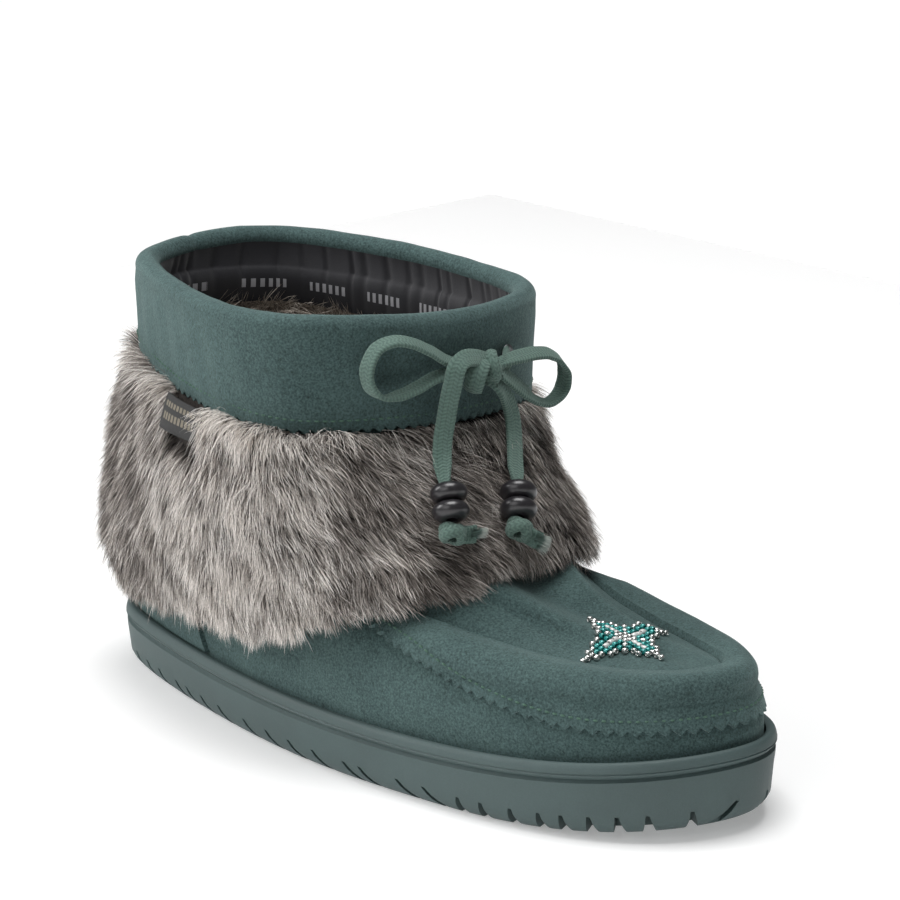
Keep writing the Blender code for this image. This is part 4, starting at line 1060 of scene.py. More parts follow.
def grow(coat: Coat, roots: Roots, finish: bpy.types.Material) -> bpy.types.Object:
    """Grow one coat of tapering flat hairs as one mesh."""
    rng = np.random.default_rng(coat.seed)
    count = len(roots.points)
    length = rng.uniform(*coat.length, count)
    if roots.room is not None:
        length = np.maximum(np.minimum(length, roots.room), 0.0035)
    steps = coat.joints
    position = roots.points - coat.sunk * roots.normals
    rise_start = np.radians(coat.rise[0] + rng.normal(0.0, 11.0, count))
    rise_end = np.radians(coat.rise[1] + rng.normal(0.0, 4.0, count))
    sway = rng.normal(0.0, 0.10, (count, 1)) * np.cross(roots.normals, roots.flow)
    line = [position]
    for k in range(steps):
        part = (k + 0.5) / steps
        angle = (rise_start + (rise_end - rise_start) * part ** 0.6)[:, None]
        lie = unit(roots.flow + part * sway + np.array((0.0, 0.0, -coat.droop * part * part)))
        way = unit(np.cos(angle) * lie + np.sin(angle) * roots.normals)
        position = position + way * (length / steps)[:, None]
        line.append(position)
    lines = np.stack(line, axis=1)
    offsets = rng.normal(0.0, coat.spread, count)
    offsets -= np.where(rng.uniform(0.0, 1.0, count) < coat.dark, 0.42, -0.05)
    if coat.clumps:
        heads = rng.choice(count, min(coat.clumps, count), replace=False)
        tree = KDTree(len(heads))
        for i, head in enumerate(heads):
            tree.insert(roots.points[head], i)
        tree.balance()
        owner = np.array([tree.find(point)[1] for point in roots.points])
        nearest = heads[owner]
        pull = coat.clumping * rng.uniform(0.45, 1.0, count)
        grip = pull[:, None] * (np.linspace(0.0, 1.0, steps + 1) ** 1.2)[None]
        lines = lines + grip[..., None] * (lines[nearest] - lines)
        offsets += rng.normal(0.0, coat.clump_spread, len(heads))[owner]
    way = unit(lines[:, 1:] - lines[:, :-1])
    way = np.concatenate([way, way[:, -1:]], axis=1)
    turn = rng.uniform(-0.9, 0.9, count)[:, None, None]
    out = roots.normals[:, None]
    across = unit(np.cross(way, out)) * np.cos(turn) + out * np.sin(turn)
    taper = coat.width * (1.0 - 0.82 * np.linspace(0.0, 1.0, steps + 1) ** 1.6)[None, :, None]
    left = lines - across * taper * 0.5
    right = lines + across * taper * 0.5
    verts = np.stack([left, right], axis=2)[:, :steps].reshape(count, -1, 3)
    verts = np.concatenate([verts, lines[:, steps:]], axis=1)
    faces = []
    for k in range(steps - 1):
        a = 2 * k
        faces += [(a, a + 1, a + 3), (a, a + 3, a + 2)]
    faces.append((2 * steps - 2, 2 * steps - 1, 2 * steps))
    per = 2 * steps + 1
    every = (np.array(faces)[None] + per * np.arange(count)[:, None, None]).reshape(-1, 3)
    root, tip = coat.tones
    way_up = np.linspace(0.0, 1.0, steps + 1)[None] + np.reshape(roots.early, (-1, 1))
    shade = root + (tip - root) * smooth_step(way_up, 0.12, 0.80)
    tones = np.clip((shade + offsets[:, None]) * roots.tone[:, None], 0.0, 1.0)
    held = np.concatenate([np.repeat(tones[:, :steps], 2, axis=1), tones[:, steps:]], axis=1)
    return mesh_object(
        coat.name, verts.reshape(-1, 3), every, finish, attributes={"tone": held.ravel()},
        sharp=180.0)


class FurBand(Maker):
    """Deep fur around the ankle: a woolly base and several coats of hair."""

    UNDER = Coat(
        "fur_under", 34000, (0.0070, 0.0110), 0.00034, 3, (50.0, 22.0), (0.02, 0.50), 11,
        sunk=0.0032, clumps=3600, clumping=0.6, spread=0.08, clump_spread=0.12, droop=0.3)
    GUARD = Coat(
        "fur_guard", 25000, (0.0095, 0.0150), 0.00026, 4, (42.0, 13.0), (0.04, 0.86), 21,
        sunk=0.0032, clumps=2900, clumping=0.68, spread=0.13, clump_spread=0.24, droop=0.3,
        dark=0.32)
    SPIKES = Coat(
        "fur_long", 5200, (0.0135, 0.0190), 0.00018, 5, (38.0, 14.0), (0.30, 1.05), 31,
        sunk=0.0022, spread=0.14, droop=0.3, dark=0.18)
    TOP_LEVEL = 3.85
    HEM_MARGIN = 0.0050
    COLUMNS = 240
    LINES = 48
    EDGES = np.linspace(0.0, TOP_LEVEL, LINES + 1)

    def __init__(self, finishes: Finishes) -> None:
        super().__init__(finishes)
        shares = (np.arange(self.COLUMNS) + 0.5) / self.COLUMNS
        tall = np.linalg.norm(np.diff(FUR_FACE.points(shares, self.EDGES), axis=0), axis=-1)
        step = 0.5 / self.COLUMNS
        middles = 0.5 * (self.EDGES[1:] + self.EDGES[:-1])
        wide = np.linalg.norm(
            FUR_FACE.points(shares + step, middles) - FUR_FACE.points(shares - step, middles),
            axis=-1)
        self.area = wide * tall
        self.climb = np.concatenate([np.zeros((1, self.COLUMNS)), np.cumsum(tall, axis=0)])

    @staticmethod
    def near(shares: Array) -> Array:
        """Share of the way from the heel to the toe, the same on both sides."""
        return np.where(shares < 0.5, shares, 1.0 - shares)

    def lean(self, shares: Array, levels: Array, rng: np.random.Generator) -> Array:
        """Angle of the hair from straight down towards the toe, in radians."""
        near = self.near(shares)
        angle = -34.0 + 36.0 * smooth_step(near, 0.02, 0.20) + 24.0 * smooth_step(near, 0.22, 0.44)
        calm = 1.0 - 0.7 * smooth_step(levels, 2.5, 3.1)
        angle += 19.0 * calm * np.sin(43.0 * shares + 2.3 * levels) * np.cos(
            31.0 * shares - 3.1 * levels)
        angle += 16.0 * calm * np.sin(117.0 * shares - 4.1 * levels + 1.7) * np.sin(
            5.3 * levels + 60.0 * shares)
        angle += rng.normal(0.0, 16.0, len(shares))
        return np.radians(np.where(shares < 0.5, angle, -angle))

    def shade(self, shares: Array, levels: Array) -> Array:
        """How light the hair is: pale at the side and darker at the heel and in front as painted
        light and shade, paler just under the cuff as painted light, and uneven in blotches of its
        own colour.
        """
        near = self.near(shares)
        # Painted light and shade: paler on the side, darker at the heel and in front.
        tone = 0.72 + 0.66 * smooth_step(near, 0.14, 0.27) - 0.72 * smooth_step(near, 0.33, 0.46)
        blotch = (
            np.sin(37.0 * shares + 1.9 * levels + 1.0) * np.sin(61.0 * shares - 4.3 * levels)
            + 0.7 * np.sin(97.0 * shares + 7.0 * levels) * np.sin(9.0 * levels - 41.0 * shares))
        # The last term is painted light: paler just under the cuff, where its edge would shade the
        # fur.
        return tone + 0.19 * blotch + 0.22 * smooth_step(levels, 2.7, 3.2)

    def roots(self, coat: Coat) -> Roots:
        """Random roots over the band, clear of its hem and of the fabric tab."""
        rng = np.random.default_rng(coat.seed + 500)
        chosen = rng.choice(
            self.area.size, int(coat.count * 1.35), p=(self.area / self.area.sum()).ravel())
        line, column = np.divmod(chosen, self.COLUMNS)
        rise = rng.uniform(0.0, 1.0, len(line))
        share = (column + rng.uniform(0.0, 1.0, len(line))) / self.COLUMNS
        level = (line + rise) / self.LINES * self.TOP_LEVEL
        above = self.climb[line, column] + rise * (
            self.climb[line + 1, column] - self.climb[line, column])
        on_tab = (np.abs(share - TAB_SHARE) < TAB_AFTER) & (level > TAB_CLEAR_LEVEL)
        kept = np.flatnonzero((above > self.HEM_MARGIN) & ~on_tab)[:coat.count]
        share, level, above = share[kept], level[kept], above[kept]
        rows = level[None]
        normals = FUR_FACE.normals(share, rows)[0]
        angle = self.lean(share, level, rng)
        down, around = -FUR_FACE.upward(share, rows)[0], FUR_FACE.around(share, rows)[0]
        flow = unit(np.cos(angle)[:, None] * down + np.sin(angle)[:, None] * around)
        relief = 0.0010 * np.sin(2.0 * math.pi * 17.0 * share + 5.0 * level)
        relief += 0.0015 * smooth_step(level, 2.8, 3.5)
        points = FUR_FACE.points(share, rows)[0] + relief[:, None] * normals
        rag = 0.0006 + 0.0018 * np.sin(151.0 * share) + rng.uniform(-0.0020, 0.0032, len(share))
        room = 0.92 * (above + rag) / np.maximum(np.cos(angle), 0.6)
        # Painted light: near the cuff the hair pales from nearer its root, against the shade under
        # the cuff's edge.
        early = 0.06 + 0.50 * smooth_step(level, 2.7, 3.3)
        return Roots(points, normals, flow, self.shade(share, level), room, early)

    def base(self) -> bpy.types.Object:
        """Woolly base under the hair, which stands for the solid band."""
        shares = np.arange(300) / 300.0
        column = np.minimum((shares * self.COLUMNS).astype(int), self.COLUMNS - 1)
        foot = np.array([
            np.interp(self.HEM_MARGIN - 0.0012, self.climb[:, k], self.EDGES) for k in column])
        levels = foot[None] + (self.TOP_LEVEL - foot)[None] * np.linspace(0.0, 1.0, 42)[:, None]
        locks = 0.0008 * np.sin(2.0 * math.pi * 17.0 * shares[None] + 5.0 * levels)
        lift = -0.0034 + locks + 0.0012 * smooth_step(levels, 2.8, 3.5)
        outer = FUR_FACE.lifted(shares, levels, lift)
        under = outer[0] - 0.0045 * FUR_FACE.normals(shares, levels[:1])[0]
        return grid_object(
            "fur_base", np.concatenate([under[None], outer]), self.finishes.undercoat, closed=True,
            sharp=180.0)

    def build(self) -> None:
        """Build the base and every coat."""
        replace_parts(self.base(), "fur_band")
        for coat, copies in ((self.UNDER, 2), (self.GUARD, 2), (self.SPIKES, 1)):
            for k in range(copies):
                own = replace(coat, name=f"{coat.name}_{k}", seed=coat.seed + k)
                grow(own, self.roots(own), self.finishes.fur)


# ---- Suede pieces

def pinked(fine: Array, edge: Array, tooth: float, closed: bool) -> tuple[Array, Array]:
    """Points of a pinked edge.

    Args:
        fine: shares of the way around, in small steps.
        edge: points of the edge at those shares.
        tooth: length of one tooth.
        closed: whether the edge runs all around.

    Returns:
        Shares for the points of the teeth, and how far in each point is, from 0 to 1.
    """
    lengths = lengths_along(edge)
    count = int(lengths[-1] / tooth) * TOOTH_POINTS
    even = np.linspace(0.0, lengths[-1], count if closed else count + 1, endpoint=not closed)
    phase = np.arange(len(even)) % TOOTH_POINTS / TOOTH_POINTS
    return np.interp(even, lengths, fine), 1.0 - np.abs(2.0 * phase - 1.0)


class Upper(Maker):
    """Suede upper: side panels, moccasin overlay, apron and heel counter."""

    @staticmethod
    def vamp_low(shares: Array) -> Array:
        """Row of the overlay's pinked edge, which climbs towards the fur."""
        from_end = np.minimum(shares - VAMP_START, VAMP_END - shares)
        climb = np.clip(1.0 - from_end / VAMP_CLIMB, 0.0, None)
        top = np.where(shares < 0.5, PANEL_END_ROW, PANEL_ROW + 0.3)
        return PANEL_ROW + (top - PANEL_ROW) * climb ** 1.5

    @staticmethod
    def vamp_lift(shares: Array, rows: Array) -> Array:
        """Thin at the pinked edge, a fat roll at the apron, thin again at its ends."""
        across = (rows - PANEL_ROW) / (ROLL_ROW - PANEL_ROW)
        roll = np.clip((across - 0.40) / 0.60, 0.0, 1.0)
        from_end = np.minimum(shares - VAMP_START, VAMP_END - shares)
        fade = np.clip(from_end / VAMP_FADE, 0.0, 1.0)
        return OVERLAY_THICKNESS + ROLL_RISE * fade * np.sin(math.pi * 0.80 * roll ** 0.8)

    def shell(self) -> None:
        """Outer wall from inside the rim up to the cuff."""
        shares = np.arange(420) / 420.0
        rows = np.concatenate([np.linspace(0.6, 4.4, 34), np.linspace(4.6, 8.9, 16)])
        lift = ripple(shares[None], rows[:, None], 0.00028)
        made = grid_object(
            "upper_suede", SKIN.lifted(shares, rows, lift), self.finishes.suede, closed=True)
        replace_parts(made, "upper")

    def vamp(self) -> None:
        """Overlay with its pinked lower edge, its roll and a row of stitches."""
        tooth, depth = VAMP_TOOTH
        fine = np.linspace(VAMP_START, VAMP_END, 1200)
        edge = SKIN.points(fine, self.vamp_low(fine)[None])[0]
        shares, teeth = pinked(fine, edge, tooth, closed=False)
        low = self.vamp_low(shares)
        above = SKIN.points(shares, (low + 0.1)[None]) - SKIN.points(shares, low[None])
        scale = np.linalg.norm(above, axis=-1)[0] / 0.1
        cut = depth * teeth / scale
        start = low + 1.15 * depth / scale
        inner = np.linspace(0.0, 1.0, 34)[1:, None]
        rows = np.concatenate([
            np.repeat((low + cut)[None], 3, axis=0),
            (0.5 * (low + cut) + 0.5 * start)[None], start[None] + (ROLL_ROW - start)[None] * inner,
            np.full((3, len(shares)), ROLL_ROW + 0.012)])
        rows[-1] += 0.012
        lift = self.vamp_lift(shares[None], np.minimum(rows, ROLL_ROW))
        lift = lift + ripple(shares[None], rows, 0.00030)
        lift[0] = 0.0001
        lift[1] = 0.7 * OVERLAY_THICKNESS
        lift[-3] *= 0.78
        lift[-2] *= 0.45
        lift[-1] = 0.0002
        made = grid_object("vamp_suede", SKIN.lifted(shares, rows, SEAT_GAP * 0.3 + lift),
                           self.finishes.suede, sharp=48.0)
        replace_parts(made, "vamp_roll")
        seam = low + 0.0042 / scale
        held = seam[None]
        line = SKIN.lifted(shares, held, self.vamp_lift(shares[None], held) + 0.0004)[0]
        stitches(
            "vamp_stitches", line, SKIN.normals(shares, held)[0], self.finishes.thread)

    def apron(self) -> None:
        """Crowned plug inside the roll."""
        shares = np.linspace(APRON_START, APRON_END, 260)
        rows = np.linspace(APRON_LOW_ROW, APRON_TOP_ROW, 50)
        rows = np.concatenate([[APRON_LOW_ROW - 0.06], rows])
        lift = SEAT_GAP + APRON_THICKNESS + ripple(shares[None], rows[:, None], 0.00030)
        lift[0] = 0.0
        made = grid_object(
            "apron_suede", SKIN.lifted(shares, rows, lift), self.finishes.suede, sharp=80.0)
        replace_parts(made, "apron")

    def counter(self) -> None:
        """Heel panel with a seam at each side."""
        rows = np.linspace(1.0, COUNTER_TOP_ROW, 26)
        half = COUNTER_FOOT - COUNTER_SLANT * (rows - 1.0)
        places = np.linspace(-1.0, 1.0, 170)
        lines = []
        for row, reach in zip(rows, half):
            shares = reach * places
            shares = np.concatenate([[shares[0] - 0.0012], shares, [shares[-1] + 0.0012]])
            lift = SEAT_GAP * 0.4 + COUNTER_THICKNESS + ripple(shares, row, 0.00025)
            lift[[0, -1]] = -0.0001
            lines.append(SKIN.lifted(shares, row, lift[None])[0])
        made = grid_object("counter_suede", np.stack(lines), self.finishes.suede, sharp=50.0)
        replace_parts(made, "heel_counter")

    def build(self) -> None:
        """Build every suede piece below the fur."""
        self.shell()
        self.vamp()
        self.apron()
        self.counter()


class Cuff(Maker):
    """Padded suede cuff with a pinked edge, its satin band and the pile inside."""

    OUTER = SEAT_GAP + CUFF_THICKNESS
    ROLL = 0.78 * CUFF_ROLL
    SAG = (
        (0.0, 0.03, 0.10, 0.15, 0.20, 0.25, 0.30, 0.35, 0.42, 0.70, 0.80, 0.90, 0.97),
        (-0.0004, -0.0014, -0.0022, -0.0026, -0.0026, -0.0024, -0.0018, -0.0010, 0.0, 0.0,
         0.0008, 0.0012, 0.0010))

    @staticmethod
    def seam(shares: Array, width: float) -> Array:
        """Dip at the seam behind the heel, 1 at its middle."""
        return np.exp(-((np.mod(shares + 0.5, 1.0) - CUFF_SEAM_SHARE) / width) ** 2)

    def roll(self, shares: Array, angles: Sequence[float]) -> Array:
        """Loops over the padded roll at angles in degrees, outside first."""
        edge = SKIN.points(shares, COLLAR_ROW)[0]
        seam = self.seam(shares, 0.0030)
        flat = SKIN.normals(shares, COLLAR_ROW - 0.5)[0]
        flat[:, 2] = 0.0
        flat = unit(flat)
        soft = 1.0 + (ripple(shares, 0.0, 0.045) - 0.12 * seam)[:, None]
        centre = edge + flat * (self.OUTER - self.ROLL)
        centre[:, 2] += 2.0 * CUFF_ROLL - self.ROLL + GAP
        centre[:, 2] += np.interp(shares, *self.SAG, period=1.0)
        radius = self.ROLL * soft
        turns = np.radians(angles)
        up = np.array((0.0, 0.0, 1.0))
        return np.stack([
            centre + radius * (math.cos(turn) * flat + math.sin(turn) * up) for turn in turns])

    def leather(self) -> None:
        """Outer face, roll and inner turning, in one piece with a pinked edge."""
        tooth, depth = CUFF_TOOTH
        fine = np.linspace(0.0, 1.0, 1600)
        edge = SKIN.lifted(fine, CUFF_ROW, self.OUTER)[0]
        shares, teeth = pinked(fine, edge, tooth, closed=True)
        above = SKIN.points(shares, CUFF_ROW + 0.1) - SKIN.points(shares, CUFF_ROW)
        scale = 0.1 / np.linalg.norm(above, axis=-1)[0]
        cut = depth * teeth * scale
        start = 1.15 * depth * scale
        rise = np.linspace(0.0, 1.0, 16)[1:, None]
        rows = np.concatenate([
            np.repeat((CUFF_ROW + cut)[None], 3, axis=0),
            CUFF_ROW + start[None] + (0.96 - start)[None] * rise])
        seam = self.seam(shares, 0.0022)
        lift = self.OUTER + ripple(shares[None], rows, 0.00042) - 0.0007 * seam
        lift[0] = 0.0012
        lift[1] = 0.0030
        face = SKIN.lifted(shares, rows, lift)
        roll = self.roll(shares, np.linspace(-12.0, 205.0, 16))
        turned = SKIN.lifted(shares, TURNED_ROW, -0.0006)
        made = grid_object(
            "cuff_suede", np.concatenate([face, roll, turned]), self.finishes.suede, closed=True,
            sharp=48.0)
        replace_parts(made, "cuff")
        rows = (CUFF_ROW + 0.0046 * scale)[None]
        line = SKIN.lifted(shares, rows, self.OUTER + 0.0001)[0]
        line = np.concatenate([line, line[:1]])
        normals = SKIN.normals(shares, rows)[0]
        normals = np.concatenate([normals, normals[:1]])
        stitches("cuff_stitches", line, normals, self.finishes.thread)

    def band(self) -> None:
        """Satin band below the roll, inside, drawn into uneven pleats."""
        shares = np.arange(900) / 900.0
        drop = np.linspace(0.0, 1.0, 14)
        rng = np.random.default_rng(3)
        pleats = np.zeros(len(shares))
        for spot in np.cumsum(rng.uniform(0.010, 0.034, 46)):
            away = np.mod(shares - spot + 0.5, 1.0) - 0.5
            pleats -= rng.uniform(0.4, 1.0) * np.exp(-(away / rng.uniform(0.0022, 0.0050)) ** 2)
        fade = (np.exp(-2.6 * drop) + 0.16)[:, None]
        puff = -0.0030 - 0.0018 * np.sin(math.pi * drop ** 0.7)[:, None]
        rows = BAND_TOP_ROW - BAND_ROWS * drop
        grid = SKIN.lifted(shares, rows, puff - 0.0010 * pleats * fade)
        top = self.roll(shares, [196.0])[0]
        grid = np.concatenate([top[None], grid])[::-1]
        across = np.concatenate([[1.0], 1.0 - drop])[::-1]
        uv = uv_grid(shares[None], across[:, None])
        made = grid_object("satin_band", grid[:, ::-1], self.finishes.satin, closed=True,
                           uv=uv[:, ::-1], sharp=180.0)

    def pile(self) -> None:
        """Pile lining below the band, down to the footbed, with its curled hair."""
        shares = np.arange(240) / 240.0
        rows = np.linspace(*PILE_ROWS, 60)
        lift = -PILE_DEPTH + ripple(shares[None], rows[:, None], 0.0008)
        grid = SKIN.lifted(shares, rows, lift)[:, ::-1]
        made = grid_object("pile_lining", grid, self.finishes.footbed, closed=True, sharp=180.0)
        rng = np.random.default_rng(77)
        count = 15000
        s = rng.uniform(0.0, 1.0, count)
        row = (5.2 + 3.16 * rng.uniform(0.0, 1.0, count) ** 0.8)[None]
        points = SKIN.lifted(s, row, -PILE_DEPTH)[0]
        around, down = SKIN.around(s, row)[0], -SKIN.upward(s, row)[0]
        angle = rng.uniform(-1.6, 1.6, count)[:, None]
        turned = np.where(row[0] > 7.6, -1.0, rng.choice((-1.0, 1.0), count))[:, None]
        flow = unit(turned * np.cos(angle) * down + np.sin(angle) * around)
        tone = 0.9 + 0.25 * np.sin(60.0 * s) * np.sin(3.0 * row[0])
        coat = Coat("pile_hair", count, (0.0070, 0.0120), 0.00036, 3, (58.0, 28.0), (0.12, 0.90),
                    41, clumps=900, clumping=0.6, spread=0.10, clump_spread=0.12, droop=0.1)
        grow(coat, Roots(points, -SKIN.normals(s, row)[0], flow, tone),
                     self.finishes.pile)
        self.footbed(rng)

    def footbed(self, rng: np.random.Generator) -> None:
        """Felted footbed, with short pile."""
        shares = np.arange(200) / 200.0
        edge = SKIN.lifted(shares, FELT_ROW, -PILE_DEPTH)[0]
        middle = edge.copy()
        middle[:, 1] = 0.1 * edge[:, 1]
        middle[:, 0] = edge[:, 0] * 0.9
        grid = np.stack([middle + (edge - middle) * k for k in np.linspace(1.0, 0.0, 14)])
        height = cup_height(grid[..., 0]) + GAP + FELT_HEIGHT
        grid[..., 2] = height + 0.0006 * np.sin(310.0 * grid[..., 0]) * np.sin(290.0 * grid[..., 1])
        made = grid_object("footbed_felt", grid, self.finishes.footbed, closed=True, sharp=180.0)
        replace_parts(made, "insole")
        count = 6000
        pick = rng.integers(0, 200, count)
        k = rng.uniform(0.0, 1.0, count)[:, None]
        points = middle[pick] + (edge - middle)[pick] * k
        points[:, 2] = cup_height(points[:, 0]) + GAP + FELT_HEIGHT
        turns = rng.uniform(0.0, 2.0 * math.pi, count)
        flow = np.stack([np.cos(turns), np.sin(turns), np.zeros(count)], axis=1)
        up = np.tile((0.0, 0.0, 1.0), (count, 1))
        coat = Coat("footbed_hair", count, (0.0050, 0.0080), 0.00045, 3, (60.0, 25.0),
                    (0.15, 0.75), 43, clumps=500, clumping=0.5, droop=0.1)
        grow(coat, Roots(points, up, flow, np.ones(count)), self.finishes.pile)

    def build(self) -> None:
        """Build the cuff and everything inside it."""
        self.leather()
        self.band()
        self.pile()


class Sole(Maker):
    """Moulded rubber sole, cut on its side with modifiers."""

    AROUND = 480

    @staticmethod
    def prism(share: float, section: Sequence[tuple[float, float]], depth: float,
              mirror: float) -> tuple[Array, Array]:
        """Wedge through the sole's edge at a share of the way around."""
        point, forward, outward = (v[0] for v in outline_frames(np.array([share])))
        base = float(tread_height(point[0])) - 0.002
        rings = []
        for out in (0.004, -depth):
            for along, up in section:
                x, y = point + out * outward + along * mirror * forward
                rings.append((x, y, base + up))
        faces = [(0, 1, 5, 4), (1, 2, 6, 5), (2, 3, 7, 6), (3, 0, 4, 7), (3, 2, 1, 0), (4, 5, 6, 7)]
        corners = np.array(faces)
        return np.array(rings), corners[:, ::-1] if mirror > 0 else corners

    def cutter(self) -> bpy.types.Object:
        """Every slit and lug gap as one mesh."""
        parts = []
        for shares, section, depth in (
                (SLIT_SHARES, SLIT_SECTION, SLIT_DEPTH),
                (LUG_GAP_SHARES, LUG_GAP_SECTION, LUG_GAP_DEPTH),
                ((TOE_CUT_SHARE,), TOE_CUT_SECTION, TOE_CUT_DEPTH)):
            for share in shares:
                parts.append(self.prism(share, section, depth, 1.0))
                if share != TOE_CUT_SHARE:
                    parts.append(self.prism(1.0 - share, section, depth, -1.0))
        verts, faces = joined(parts)
        mesh = bpy.data.meshes.new("tread_cutter")
        mesh.from_pydata(verts.tolist(), [], faces.tolist())
        shape = bmesh.new()
        shape.from_mesh(mesh)
        bmesh.ops.recalc_face_normals(shape, faces=shape.faces)
        shape.to_mesh(mesh)
        shape.free()
        return linked("tread_cutter", mesh)

    def build(self) -> None:
        """Build the sole from its levels, close it and cut its side."""
        shares = np.arange(self.AROUND) / self.AROUND
        points, _, outward = outline_frames(shares)
        loops = []
        for base, lift, inset in SOLE_LEVELS:
            plan = points - inset * outward
            loops.append(np.column_stack([plan, BASES[base](plan[:, 0]) + lift]))
        grid = np.stack(loops)
        sole = grid_object("outsole_rubber", grid, self.finishes.rubber, closed=True, sharp=40.0)
        shape = bmesh.new()
        shape.from_mesh(sole.data)
        shape.verts.ensure_lookup_table()
        count = self.AROUND
        for start, flip in ((0, True), (len(grid) * count - count, False)):
            ring = [shape.verts[start + i] for i in range(count)]
            faces = [(ring[0], ring[1], ring[count - 1])]
            half = count // 2
            for i in range(1, half - 1):
                faces.append((ring[i], ring[i + 1], ring[count - i - 1], ring[count - i]))
            faces.append((ring[half - 1], ring[half], ring[half + 1]))
            for corners in faces:
                shape.faces.new(corners[::-1] if flip else corners)
        shape.to_mesh(sole.data)
        shape.free()
        cutter = self.cutter()
        cut = sole.modifiers.new("tread cuts", "BOOLEAN")
        cut.operation = "DIFFERENCE"
        cut.solver = "EXACT"
        cut.use_self = True
        cut.object = cutter
        bpy.ops.object.select_all(action="DESELECT")
        bpy.context.view_layer.objects.active = sole
        sole.select_set(True)
        bpy.ops.object.modifier_apply(modifier=cut.name)
        sole.select_set(False)
        bpy.data.objects.remove(cutter, do_unlink=True)
        sole.data.shade_smooth()
        sole.data.set_sharp_from_angle(angle=math.radians(35.0))
        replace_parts(sole, "outsole")


# ---- Bow, beads and small pieces

class End(Enum):
    """What a stretch of lace runs to."""

    OBJECT = "object"
    KNOT = "knot"


@dataclass
class Lace:
    """One stretch of flat lace with what it carries.

    Its route holds points and, with each, how much of the lace's face shows there.
    """

    name: str
    route: Sequence[Sequence[float]]
    end: End
    stands_for: Sequence[str] = ()
    pinch: float = 0.0
    carries: list[bpy.types.Object] = field(default_factory=list)

    def path(self) -> Array:
        """Even points along the middle of the lace."""
        points = np.array(self.route)[:, :3]
        return smooth_route(points, max(int(line_length(points) / 0.0007), 24))

    def build(self, finish: bpy.types.Material) -> bpy.types.Object:
        path = self.path()
        made = self.sweep(finish)
        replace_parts(made, *self.stands_for)
        return made

    def faces(self, path: Array, tangent: Array) -> Array:
        """Outward direction of the lace's face along the path."""
        facing = unit(VIEWER - (tangent @ VIEWER)[:, None] * tangent)
        beside = np.cross(tangent, facing)
        side = math.copysign(1.0, float((beside * (path - path.mean(axis=0))).sum()))
        points = np.array(self.route)
        spots = lengths_along(points[:, :3])
        show = np.interp(np.linspace(0.0, spots[-1], len(path)), spots, points[:, 3])[:, None]
        return show * facing + side * np.sqrt(1.0 - show ** 2) * beside

    def sweep(self, finish: bpy.types.Material) -> bpy.types.Object:
        """Flat rounded section along the path, with UVs for the braid."""
        path = self.path()
        tangent = unit(np.gradient(path, axis=0))
        across = unit(np.cross(tangent, self.faces(path, tangent)))
        through = np.cross(across, tangent)
        half = np.array((-1.0, -0.96, -0.84, -0.5, 0.0, 0.5, 0.84, 0.96, 1.0))
        thick = np.array((0.0, 0.62, 0.94, 1.0, 1.0, 1.0, 0.94, 0.62, 0.0))
        top = np.column_stack([half, thick])
        under = np.column_stack([half[::-1], -thick[::-1]])[1:-1]
        section = np.concatenate([top, under])
        along = np.linspace(0.0, line_length(path), len(path))
        share = along / along[-1]
        width = LACE_WIDTH * 0.5 * (1.0 - self.pinch * np.clip((share - 0.86) / 0.14, 0.0, 1.0))
        crease = 0.0016 * self.pinch * np.clip((share - 0.70) / 0.30, 0.0, 1.0)
        grid = (
            path[:, None] + (width[:, None] * section[None, :, 0])[..., None] * across[:, None]
            + (LACE_THICKNESS * 0.5 * section[None, :, 1]
               + crease[:, None] * (np.abs(section[None, :, 0]) - 0.4))[..., None]
            * through[:, None])
        closed = np.concatenate([grid, grid[:, :1]], axis=1)
        wrap = np.append(section[:, 0], section[0, 0])
        uv = uv_grid(along[:, None], wrap[None])
        return grid_object(self.name, closed, finish, uv=uv, sharp=75.0)


